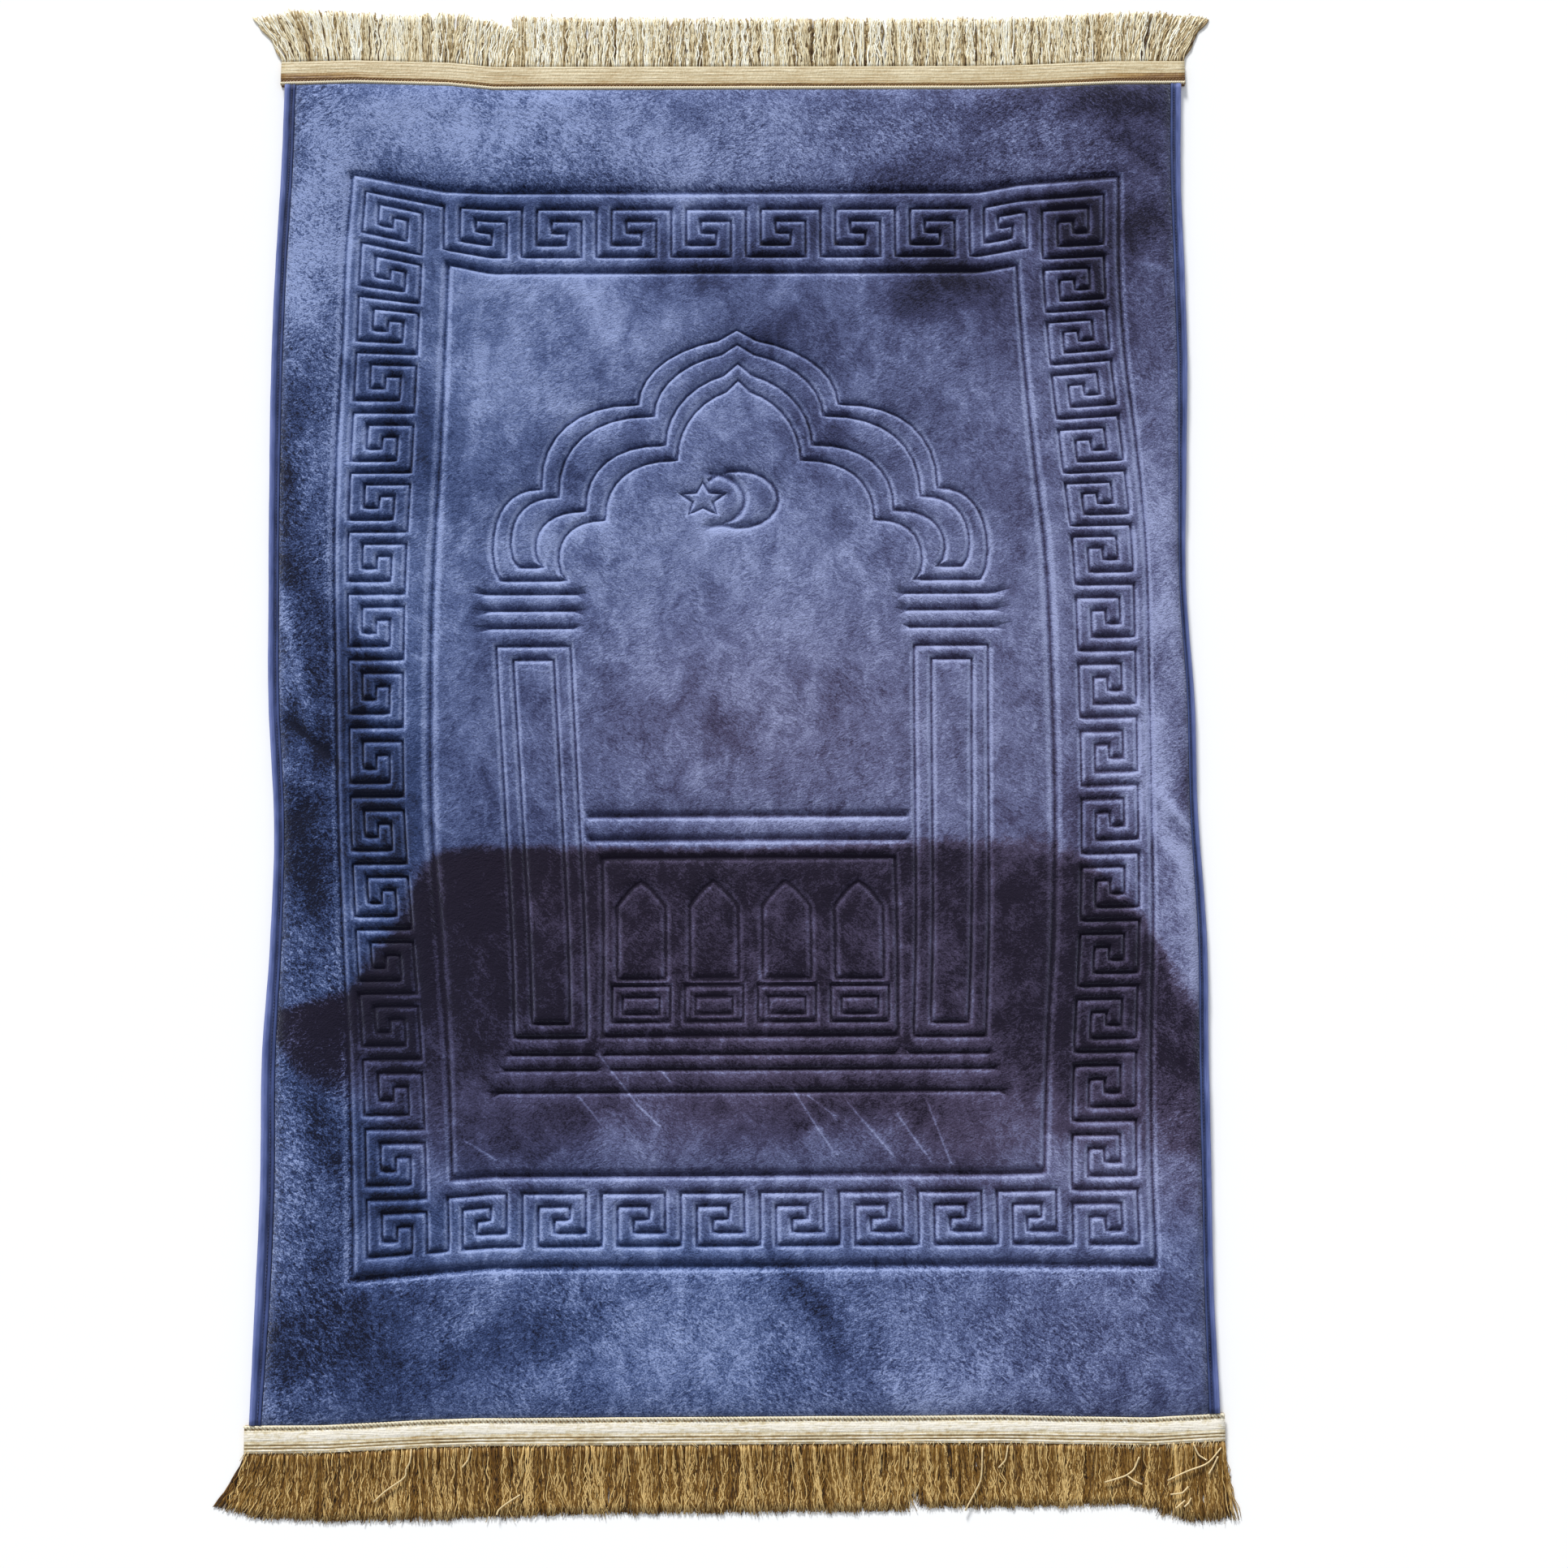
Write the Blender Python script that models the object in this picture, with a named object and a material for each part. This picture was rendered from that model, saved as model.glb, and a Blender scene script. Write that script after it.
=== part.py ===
"""Padded plush prayer rug: pressed arch and key border, bound sides, fringed ends, laid flat.

Everything is set out in millimetres on the straight pressing plate, x to the right, y to the
far end and z up from the floor; lay() then moves it to where the soft cloth has drifted, and
build_node() turns it into metres.
"""
from math import cos, pi, sin, sqrt

import bmesh
import bpy
import numpy as np
from mathutils import Vector
from mathutils.geometry import delaunay_2d_cdt

MM = 0.001
ORIGIN_SHIFT = 6.4                  # puts the origin at the middle of the rug with its fringes

# ---- the pad ----
BODY_HALF = (391.0, 580.0)          # where the pad meets its bindings and its headings
PAD_HEIGHT, PAD_PUFF, PUFF_SPREAD = 9.0, 1.4, 12.0
RIM_HEIGHT = (6.8, 5.9)             # pad height where it meets the bindings and the headings
RIM_ROLL = 26.0                     # how far in from the rim the pad comes up to its height
RIM_REACH = (8.5, 12.0)             # the flattened rim inside the bindings and the headings
RIM_SECTION = (5.9, 3.7, 1.7)       # its top in the bindings, its top in the headings, its foot
RIM_TAPER = 50.0                    # the rim is thin as a heading this near the ends
RIPPLE = 0.5                        # the plush's own slow waves
RIPPLE_WAVES = ((61.0, 97.0, 0.0), (-140.0, 53.0, 1.3))   # lengths across and along, phase

# Puckers of the margins: middle x, y, reach across, reach along, height.
PUCKERS = (
    (-369.0, -72.0, 12.0, 13.0, -2.8),
    (-372.0, -20.0, 12.0, 14.0, 0.9),
    (-361.0, -140.0, 12.0, 24.0, -1.2),
    (-384.0, 190.0, 10.0, 40.0, -0.9),
    (362.0, -20.0, 14.0, 30.0, 0.8),
    (384.0, -62.0, 8.0, 22.0, -1.6),
    (372.0, -175.0, 16.0, 45.0, 1.4),
    (364.0, 90.0, 12.0, 40.0, 1.0),
    (374.0, -270.0, 12.0, 26.0, -1.0),
    (372.0, 330.0, 14.0, 70.0, -0.9),
)
# Creases of the margins: from x, y, to x, y, width, height.
CREASES = (
    (-396.0, 131.0, -364.0, -4.0, 7.0, 1.9),
    (-386.0, 9.0, -338.0, -36.0, 6.0, -2.8),
    (-390.0, -38.0, -346.0, -58.0, 9.0, 1.8),
    (-369.0, -165.0, -360.0, -190.0, 6.0, 1.1),
    (-378.0, -366.0, -352.0, -382.0, 5.0, 1.1),
    (344.0, 526.0, 382.0, 490.0, 7.0, -1.6),
    (350.0, 470.0, 386.0, 442.0, 8.0, -1.0),
    (346.0, 414.0, 386.0, 402.0, 5.0, 1.0),
    (354.0, -55.0, 391.0, -99.0, 5.0, 2.4),
    (357.0, -279.0, 386.0, -304.0, 6.0, -1.8),
    (350.0, -335.0, 386.0, -344.0, 7.0, 0.9),
    (-20.0, -552.0, -60.0, -574.0, 9.0, -0.8),
    (-345.0, 545.0, -290.0, 560.0, 14.0, 0.8),
)

# ---- how closely the surface follows all this ----
EDGE_STEP, GROOVE_STEP, FIELD_STEP = 40.0, 70.0, 46.0
FIELD_CLEAR = 9.0                   # how near a groove a field point may stand
PUCKER_RINGS = ((0.1, 3), (0.8, 6), (1.7, 7))   # reach, points
CREASE_OFFSETS, CREASE_STEP, CREASE_CLEAR = (-0.9, 0.0, 0.9), 12.0, 3.0
MITRE_LIMIT = 1.7
GROOVE_SIGHT = 60.0                 # farther from a groove than this the pad is at full puff

# ---- folded tape along the long sides: section as (across, height), round the pad's rim ----
BINDING_SECTION = ((391.4, 0.0), (400.2, 0.0), (401.0, 0.8), (401.0, 6.8), (400.2, 7.6),
                   (392.5, 7.6), (391.4, 7.2), (391.4, 6.2), (399.9, 6.2), (399.9, 1.4),
                   (391.4, 1.4))
BINDING_END, BINDING_MARKS = 580.0, 30

# ---- woven heading over each end: section as (along, height), with its cord and ribs ----
HEADING_EDGE = 603.0
HEADING_HALF = 405.0
HEADING_SECTION = ((580.4, 0.0), (603.0, 0.0), (603.0, 3.2), (601.6, 4.1), (599.6, 3.6),
                   (598.2, 4.5), (596.2, 4.0), (594.8, 4.9), (592.6, 4.7), (585.0, 5.2),
                   (583.4, 6.1), (581.2, 6.1), (580.4, 5.5), (580.4, 4.0), (592.4, 4.0),
                   (592.4, 1.4), (580.4, 1.4))

# ---- fringe: locks that grow from the heading's outer wall and lie on the floor ----
LOCK_PITCH, LOCK_GAP = 7.2, 1.5
# Along a lock: share of its length, share of its width, share of its thickness.
LOCK_SECTION = ((0.5, 0.92, 0.85), (1.0, 0.5, 0.4))
LOCK_UNEVEN = 0.03                  # how much the locks differ in length
CRIMP_FAR, CRIMP_NEAR = 0.9, 0.3    # how far a lock's tip strays sideways by itself
LEAN_CURVE = 1.4                    # a lock leans more towards its tip
# How a fringe lies: at x, how far its tips lean sideways, and how long the locks are.
FRINGE_FAR = ((-405, -26, 43), (-380, -14, 50), (-345, -4, 47), (-309, -1, 44), (-250, 1, 48),
              (-222, 6, 44), (-206, 8, 38), (-199, 6, 35), (-196, 0, 49), (-120, 0, 47),
              (120, 0, 46), (235, 1, 46), (310, 2, 46), (370, 11, 48), (405, 25, 42))
FRINGE_NEAR = ((-405, -17, 44), (-380, -11, 52), (-345, -3, 54), (-250, 0, 58), (-120, 0, 55),
               (110, 0, 54), (140, -3, 54), (146, 0, 38), (152, 3, 51), (215, 1, 52),
               (320, 0, 48), (345, 0, 51), (372, 2, 63), (405, 3, 62))


# ---- the pressed pattern as its plate was cut, straight and even ----
FRAME_OUTER = (340.0, 472.0)        # half width, half length
FRAME_INNER = (250.5, 398.0)
KEY_OUTER = (327.0, 456.0)          # the key's outermost winding
KEY_STEP = (13.35, 912.0 / 84.0)    # from one winding to the next, across and down
KEY_ROW_STEP = 13.2                 # the same along the two end rows
KEY_CELLS_DOWN, KEY_CELLS_ACROSS = 17, 8
KEY_CELL_STEPS = 5
# One turn of the key: (steps along the border, windings in from its outer side).
KEY_CELL = ((0, 0), (4, 0), (4, 3), (2, 3), (2, 2), (3, 2), (3, 1), (1, 1), (1, 4), (5, 4))

# The arch's four lines, outermost first: tip height, then the two cusps and the foot.
ARCH_LINES = (
    # tip    cusp 1         cusp 2         foot
    (337.5, (87.5, 260.0), (172.5, 176.5), (207.5, 89.0)),
    (322.0, (74.0, 248.5), (157.5, 168.5), (192.0, 101.0)),
    (302.0, (64.0, 219.5), (134.0, 154.5), (170.5, 101.0)),
    (285.0, (54.0, 204.5), (117.0, 145.5), (150.5, 89.0)),
)
ARCH_TIP_REACH = 1.2                # the top lobe's round centre past the axis, share of its span
ARCH_TIP_SHARE = 0.9                # how much of the tip's rise the round takes
ARCH_BELLY = 7.0                    # how far the lowest lobe stands outside its foot
ARCH_BELLY_RISE, ARCH_ANKLE = 0.3, (0.7, 0.12)   # where it does so, and where it draws in
LOBE_FULLNESS = 0.85                # 1 is a plain quarter round, less is fuller
LOBE_POINTS = 8


def lobe(start, end):
    """Quarter round that leaves its start level and reaches its end upright."""
    angles = [pi / 2 * k / LOBE_POINTS for k in range(1, LOBE_POINTS + 1)]
    return [(start[0] + (end[0] - start[0]) * sin(a) ** LOBE_FULLNESS,
             end[1] + (start[1] - end[1]) * abs(cos(a)) ** LOBE_FULLNESS) for a in angles]


def arch_line(line):
    """One line of the arch from its left foot over the tip to its right foot."""
    tip, cusp_1, cusp_2, foot = line
    reach, rise = cusp_1[0] * ARCH_TIP_REACH, (tip - cusp_1[1]) * ARCH_TIP_SHARE
    half = [(0.0, tip)]
    for k in range(1, LOBE_POINTS + 1):
        x = cusp_1[0] * sin(pi / 2 * k / LOBE_POINTS)
        out = 1 - (cusp_1[0] - x) / reach
        half.append((x, cusp_1[1] + rise * sqrt(max(0.0, 1 - out * out))))
    leg = cusp_2[1] - foot[1]
    half += lobe(cusp_1, cusp_2)
    half += lobe(cusp_2, (foot[0] + ARCH_BELLY, foot[1] + ARCH_BELLY_RISE * leg))
    half += [(foot[0] + ARCH_ANKLE[0] * ARCH_BELLY, foot[1] + ARCH_ANKLE[1] * leg), foot]
    return [(-x, y) for x, y in half[:0:-1]] + half


def arch_loops():
    """The arch's two closed outlines: its outer and inner edges, and the band between them."""
    lines = [arch_line(line) for line in ARCH_LINES]
    return [lines[0] + lines[3][::-1], lines[1] + lines[2][::-1]]


def box(cx, cy, half_w, half_h):
    return [(cx - half_w, cy - half_h), (cx + half_w, cy - half_h),
            (cx + half_w, cy + half_h), (cx - half_w, cy + half_h)]


def key_column(side):
    """The key down one side column; side is +1 right, -1 left."""
    points = [(side * (KEY_OUTER[0] - KEY_STEP[0] * inward),
               KEY_OUTER[1] - KEY_STEP[1] * (KEY_CELL_STEPS * cell + along))
              for cell in range(KEY_CELLS_DOWN) for along, inward in KEY_CELL]
    points[-1] = (points[-1][0], -KEY_OUTER[1])
    return points


def key_row(end):
    """The key along one end row, right to left; end is +1 far, -1 near."""
    start = KEY_OUTER[0] - 4 * KEY_STEP[0]
    points = [(start - KEY_ROW_STEP * (KEY_CELL_STEPS * cell + along),
               end * (KEY_OUTER[1] - KEY_STEP[1] * inward))
              for cell in range(KEY_CELLS_ACROSS) for along, inward in KEY_CELL]
    return points + [(points[-1][0], end * KEY_OUTER[1])]


def key_loop():
    """The whole key: down the right, along the near row, up the left, back along the far row."""
    return key_column(1) + key_row(-1)[1:] + key_column(-1)[::-1] + key_row(1)[::-1][:-1]


# ---- pillars, balustrade and steps ----
PILLAR_TOP, PILLAR_FOOT = 32.0, -287.0     # heights of the pillar's outer outline
PILLAR_LEAN = (180.0, 168.0)               # its middle line at the top and at the foot
PILLAR_HALF = (32.0, 30.5)                 # half width, outer outline, top and foot
PILLAR_INSET = (14.5, 11.5)                # the inner outline's inset: sides, ends
CAPITAL_BARS = ((77.0, 38.5), (62.5, 36.0), (47.5, 35.0))    # height, half width
RAIL_BARS = ((-106.0, 135.0), (-125.0, 134.0))
PANEL = (0.0, -213.0, 124.5, 73.0)         # middle x, y, half width, half height
WINDOWS, WINDOW_PITCH, WINDOW_HALF = 4, 61.5, 20.5
WINDOW_TIP, WINDOW_SPRING, WINDOW_FOOT = -159.0, -179.5, -238.5
WINDOW_BULGE, WINDOW_POINTS = 0.75, 4      # 1 is a straight-sided point, less is rounder
SILL_BOXES = ((-259.5, 24.5, 15.0), (-261.0, 15.5, 7.0))     # height, half width, half height

# Steps: three lines; the middle flight narrows down, the side ones widen.
STEP_LINES = (
    # height, middle half width, side from, side to
    (-301.0, 121.5, 134.5, 199.5),
    (-313.5, 117.5, 129.5, 205.0),
    (-331.5, 111.0, 121.0, 209.5),
)


def pillar(side):
    """Outer and inner outlines of one pillar."""
    outlines = []
    for inset_x, inset_y in ((0.0, 0.0), PILLAR_INSET):
        top, foot = PILLAR_TOP - inset_y, PILLAR_FOOT + inset_y
        outlines.append([(side * PILLAR_LEAN[0] - PILLAR_HALF[0] + inset_x, top),
                         (side * PILLAR_LEAN[1] - PILLAR_HALF[1] + inset_x, foot),
                         (side * PILLAR_LEAN[1] + PILLAR_HALF[1] - inset_x, foot),
                         (side * PILLAR_LEAN[0] + PILLAR_HALF[0] - inset_x, top)])
    return outlines


def window(cx):
    """A pointed window: two flat arcs from the springing to the tip."""
    rise = WINDOW_TIP - WINDOW_SPRING
    half = [(WINDOW_HALF * (1 - k / WINDOW_POINTS) ** WINDOW_BULGE,
             WINDOW_SPRING + rise * k / WINDOW_POINTS) for k in range(WINDOW_POINTS + 1)]
    right = [(WINDOW_HALF, WINDOW_FOOT)] + half
    return [(cx + x, y) for x, y in right] + [(cx - x, y) for x, y in right[-2::-1]]


# ---- crescent and star ----
# Arcs: middle, radii, from and to angle, points.
CRESCENT_OUTER = ((-1.0, 166.0), (34.5, 28.0), (-112.0, 140.0), 14)
CRESCENT_INNER = ((-27.0, 165.5), (31.0, 26.0), (-85.0, 85.0), 10)
STAR_MIDDLE, STAR_RADII, STAR_STRETCH = (-32.0, 165.5), (18.0, 8.0), 1.15


def arc(middle, radii, angles, count):
    lo, hi = angles
    return [(middle[0] + radii[0] * cos((lo + (hi - lo) * k / count) * pi / 180),
             middle[1] + radii[1] * sin((lo + (hi - lo) * k / count) * pi / 180))
            for k in range(count + 1)]


def star():
    return [(STAR_MIDDLE[0] + STAR_STRETCH * STAR_RADII[k % 2] * sin(pi * k / 5),
             STAR_MIDDLE[1] + STAR_RADII[k % 2] * cos(pi * k / 5)) for k in range(10)]


# How wide and how deep each groove is pressed.
GROOVES = {
    "outer frame": (7.5, 3.0), "inner frame": (7.0, 3.0), "key": (5.0, 2.6), "arch": (5.0, 2.6),
    "capital": (5.0, 2.8), "pillar": (5.0, 2.6), "rail": (6.5, 2.8), "panel": (6.0, 2.6),
    "window": (6.0, 2.2), "sill": (4.5, 2.0), "step": (4.5, 2.2), "star": (4.5, 2.2),
    "crescent back": (6.5, 2.6), "crescent face": (8.0, 2.6),
}


def pressed_lines():
    """Every groove: (points, closed, width, depth)."""
    lines = []

    def press(kind, points, closed=True):
        lines.append((points, closed, *GROOVES[kind]))

    press("outer frame", box(0, 0, *FRAME_OUTER))
    press("inner frame", box(0, 0, *FRAME_INNER))
    press("key", key_loop())
    for loop in arch_loops():
        press("arch", loop)
    for side in (-1, 1):
        middle = side * PILLAR_LEAN[0]
        for y, half in CAPITAL_BARS:
            press("capital", [(middle - half, y), (middle + half, y)], False)
        for outline in pillar(side):
            press("pillar", outline)
        for y, _, start, end in STEP_LINES:
            press("step", [(side * start, y), (side * end, y)], False)
    for y, half, _, _ in STEP_LINES:
        press("step", [(-half, y), (half, y)], False)
    for y, half in RAIL_BARS:
        press("rail", [(-half, y), (half, y)], False)
    press("panel", box(*PANEL))
    for k in range(WINDOWS):
        cx = (k - (WINDOWS - 1) / 2) * WINDOW_PITCH
        press("window", window(cx))
        for middle, half_w, half_h in SILL_BOXES:
            press("sill", box(cx, middle, half_w, half_h))
    press("crescent back", arc(*CRESCENT_OUTER), False)
    press("crescent face", arc(*CRESCENT_INNER), False)
    press("star", star())
    return lines


# ---- how the mat lies: the plate's straight lines drift as the plush does ----
# Row height on the plate, then its drift sideways and along the mat, in millimetres.
DRIFT_AT = (-400.0, -340.0, -255.0, -215.0, 215.0, 255.0, 340.0, 400.0)
DRIFT = (
    # row    sideways: edge, frame, inner, middle, inner, frame, edge; then along the mat
    (580.0, (0.2, 0.0, 0.0, 0.0, 0.0, 0.0, -2.2), (0.0, 1.5, -1.0, -5.2, -4.5, -1.0, -1.0)),
    (472.0, (-1.4, 1.0, -3.0, 0.0, -2.0, 1.0, -5.1), (15.0, 25.0, 9.0, 7.0, 14.0, 21.0, 12.0)),
    (400.0, (-3.8, -3.0, -3.0, 0.0, -2.0, -1.0, -4.2), (20.0, 35.0, 16.0, 7.0, 14.0, 18.0, 10.0)),
    (300.0, (-5.5, -5.0, -5.5, 2.0, 3.0, 2.0, -4.2), (20.0, 40.0, 36.0, 20.0, 24.0, 31.0, 20.0)),
    (200.0, (-4.6, -8.0, -8.5, 3.0, 11.0, 11.0, -8.0), (20.0, 39.0, 39.0, 30.0, 34.0, 38.0, 20.0)),
    (100.0, (-2.8, -8.0, -13.5, 4.0, 20.0, 16.5, -11.2), (20.0, 41.0, 41.0, 38.0, 46.0, 47.0, 20.0)),
    (0.0, (-0.3, -4.0, -15.0, 6.0, 23.0, 16.0, -6.8), (20.0, 35.0, 35.0, 36.0, 40.0, 41.0, 20.0)),
    (-100.0, (7.1, 0.0, -12.5, 9.0, 23.0, 15.0, -6.8), (15.0, 25.0, 25.0, 28.0, 31.0, 33.0, 20.0)),
    (-200.0, (6.2, 6.0, -3.0, 11.5, 19.0, 13.5, -2.4), (15.0, 21.0, 21.0, 22.0, 25.0, 26.0, 15.0)),
    (-300.0, (1.7, 13.0, 6.5, 11.0, 11.0, 9.0, -3.9), (15.0, 20.0, 20.0, 20.0, 23.0, 24.0, 15.0)),
    (-400.0, (2.9, 18.0, 12.5, 9.0, 6.0, 7.0, -4.7), (10.0, 13.0, 14.0, 17.0, 18.0, 18.0, 10.0)),
    (-472.0, (1.4, 19.5, 14.0, 9.0, 5.0, 8.0, -5.7), (5.0, 6.0, 13.0, 16.0, 15.0, 15.0, 10.0)),
    (-580.0, (-1.3, 0.0, 0.0, 0.0, 0.0, 0.0, -3.4), (-3.0, -2.8, 1.0, 1.9, 1.0, -0.8, 2.0)),
)


def between_rows(group, column, at):
    """One column of the table of drift, read between its rows along a smooth curve."""
    keys = np.array([row[0] for row in DRIFT])[::-1]
    values = np.array([row[group][column] for row in DRIFT])[::-1]
    slopes = np.gradient(values, keys)
    k = np.clip(np.searchsorted(keys, at) - 1, 0, len(keys) - 2)
    gap = keys[k + 1] - keys[k]
    t = np.clip((at - keys[k]) / gap, 0.0, 1.0)
    return ((2 * t**3 - 3 * t**2 + 1) * values[k] + (t**3 - 2 * t**2 + t) * gap * slopes[k]
            + (3 * t**2 - 2 * t**3) * values[k + 1] + (t**3 - t**2) * gap * slopes[k + 1])


def drift(group, x, y):
    """How far the cloth has drifted at a point of the plate: group 1 sideways, 2 along."""
    marks = [between_rows(group, column, y) for column in (0, 1, 2, 3, 3, 4, 5, 6)]
    total = marks[0]
    for k in range(1, len(marks)):
        t = np.clip((x - DRIFT_AT[k - 1]) / (DRIFT_AT[k] - DRIFT_AT[k - 1]), 0, 1)
        total = total + (marks[k] - marks[k - 1]) * t
    return total


def lay(x, y):
    """Where a point of the plate lies on the floor."""
    x, y = np.asarray(x, float), np.asarray(y, float)
    return x + drift(1, x, y), y + drift(2, x, y)


# ---- grooves as lines for the surface to follow ----
def subdivided(points, closed, step):
    """The same line with no gap between its points wider than the step."""
    ends = points[1:] + points[:1] if closed else points[1:]
    line = []
    for start, end in zip(points, ends):
        count = max(1, int(np.ceil(np.hypot(end[0] - start[0], end[1] - start[1]) / step)))
        line += [(start[0] + (end[0] - start[0]) * k / count,
                  start[1] + (end[1] - start[1]) * k / count) for k in range(count)]
    return line if closed else line + [points[-1]]


def offset_line(points, closed, distance):
    """The line moved sideways to its left, its corners mitred."""
    line = np.array(points, float)
    count = len(line)
    moved = []
    for k in range(count):
        before = line[k] - line[k - 1] if closed or k > 0 else line[1] - line[0]
        after = line[(k + 1) % count] - line[k] if closed or k < count - 1 else before
        before, after = before / np.hypot(*before), after / np.hypot(*after)
        side = np.array([-(before[1] + after[1]), before[0] + after[0]])
        side /= max(np.hypot(*side), 1e-6)
        spread = max(side[0] * -before[1] + side[1] * before[0], 1.0 / MITRE_LIMIT)
        moved.append(tuple(line[k] + side * distance / spread))
    return moved


def groove_outlines(points, closed, width):
    """The lines that bound a groove, and its middle line: (points, closed)."""
    half = width / 2
    left, right = offset_line(points, closed, half), offset_line(points, closed, -half)
    if closed:
        return [(left, True), (points, True), (right, True)]
    start, end = np.array(points[0]), np.array(points[-1])
    back = (start - np.array(points[1])) / np.hypot(*(start - np.array(points[1]))) * half
    on = (end - np.array(points[-2])) / np.hypot(*(end - np.array(points[-2]))) * half
    ring = ([tuple(left[0] + back)] + left[1:-1] + [tuple(left[-1] + on)]
            + [tuple(right[-1] + on)] + right[-2:0:-1] + [tuple(right[0] + back)])
    return [(ring, True), (points, False)]


def gap_to(at, start, end):
    """How far each point lies from a straight line, and where along it: 0 to 1."""
    start, along = np.asarray(start, float), np.subtract(end, start).astype(float)
    rel = at - start
    share = np.clip((rel @ along) / max(along @ along, 1e-9), 0, 1)
    return np.hypot(*(rel - share[:, None] * along).T), share


def groove_distances(at, lines):
    """For each point: how deep the grooves press it, and how far it is from the nearest one."""
    pressed, clear = np.zeros(len(at)), np.full(len(at), 1e3)
    for points, closed, width, depth in lines:
        line = np.array(points, float)
        ends = np.roll(line, -1, axis=0) if closed else line[1:]
        starts = line if closed else line[:-1]
        for a, b in zip(starts, ends):
            low, high = np.minimum(a, b) - GROOVE_SIGHT, np.maximum(a, b) + GROOVE_SIGHT
            near = np.all((at > low) & (at < high), axis=1)
            gap = gap_to(at[near], a, b)[0]
            pressed[near] = np.maximum(pressed[near], depth * np.clip(1 - gap / (width / 2), 0, 1))
            clear[near] = np.minimum(clear[near], np.maximum(gap - width / 2, 0))
    return pressed, clear


def fold_height(x, y):
    """How far the puckers and creases lift or sink the laid rug."""
    height = np.zeros(len(x))
    for mid_x, mid_y, across, along, rise in PUCKERS:
        height += rise * np.exp(-((x - mid_x) / across) ** 2 - ((y - mid_y) / along) ** 2)
    for x0, y0, x1, y1, width, rise in CREASES:
        gap, share = gap_to(np.column_stack((x, y)), (x0, y0), (x1, y1))
        fade = np.sin(pi * np.clip(share, 0.08, 0.92)) ** 0.6
        height += rise * fade * np.exp(-(gap / width) ** 2)
    return height


def pad_height(at, lines):
    """Height of the pad's upper side over the floor at points of the plate."""
    pressed, clear = groove_distances(at, lines)
    height = PAD_HEIGHT + PAD_PUFF * (1 - np.exp(-clear / PUFF_SPREAD)) - pressed
    x, y = lay(at[:, 0], at[:, 1])
    for across, along, phase in RIPPLE_WAVES:
        height += RIPPLE * np.sin(x / across + y / along + phase) * (pressed == 0)
    height += fold_height(x, y)
    for rim, inward in ((RIM_HEIGHT[0], BODY_HALF[0] - np.abs(at[:, 0])),
                        (RIM_HEIGHT[1], BODY_HALF[1] - np.abs(at[:, 1]))):
        roll = np.clip(1 - inward / RIM_ROLL, 0, 1) ** 2
        height += (rim - height) * roll
    return height


# ---- from points of the plate to closed meshes ----
def material(name, colour, roughness):
    finish = bpy.data.materials.new(name)
    finish.use_nodes = True
    shader = finish.node_tree.nodes["Principled BSDF"]
    shader.inputs["Base Color"].default_value = (*colour, 1.0)
    shader.inputs["Roughness"].default_value = roughness
    return finish


def build_node(name, bm, finish):
    """Lays the shape out as the cloth lies, turns its faces outward and adds it to the rug."""
    bmesh.ops.triangulate(bm, faces=bm.faces)
    laid = [lay(vert.co.x, vert.co.y) for vert in bm.verts]
    for vert, (x, y) in zip(bm.verts, laid):
        vert.co = Vector((x, y + ORIGIN_SHIFT, vert.co.z)) * MM
    bmesh.ops.recalc_face_normals(bm, faces=bm.faces)
    mesh = bpy.data.meshes.new(name)
    bm.to_mesh(mesh)
    bm.free()
    mesh.materials.append(finish)
    node = bpy.data.objects.new(name, mesh)
    rug.objects.link(node)
    return node


def unlaid(x, y):
    """The plate point that lies at x, y."""
    px, py = float(x), float(y)
    for _ in range(6):
        at_x, at_y = lay(px, py)
        px, py = px + x - float(at_x), py + y - float(at_y)
    return px, py


def on_pad(point):
    return all(abs(at) < half - CREASE_CLEAR for at, half in zip(point, BODY_HALF))


def fold_points():
    """Plate points round each pucker, and lines along each crease: (points, closed)."""
    rings, paths = [], []
    for mid_x, mid_y, across, along, _ in PUCKERS:
        for reach, count in PUCKER_RINGS:
            turns = [2 * pi * k / count for k in range(count)]
            rings += [unlaid(mid_x + across * reach * cos(turn), mid_y + along * reach * sin(turn))
                      for turn in turns]
    for x0, y0, x1, y1, width, _ in CREASES:
        base = subdivided([unlaid(x0, y0), unlaid(x1, y1)], False, CREASE_STEP)
        for out in CREASE_OFFSETS:
            beside = offset_line(base, False, width * out)
            paths.append(([point for point in beside if on_pad(point)], False))
    return rings, paths


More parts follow.
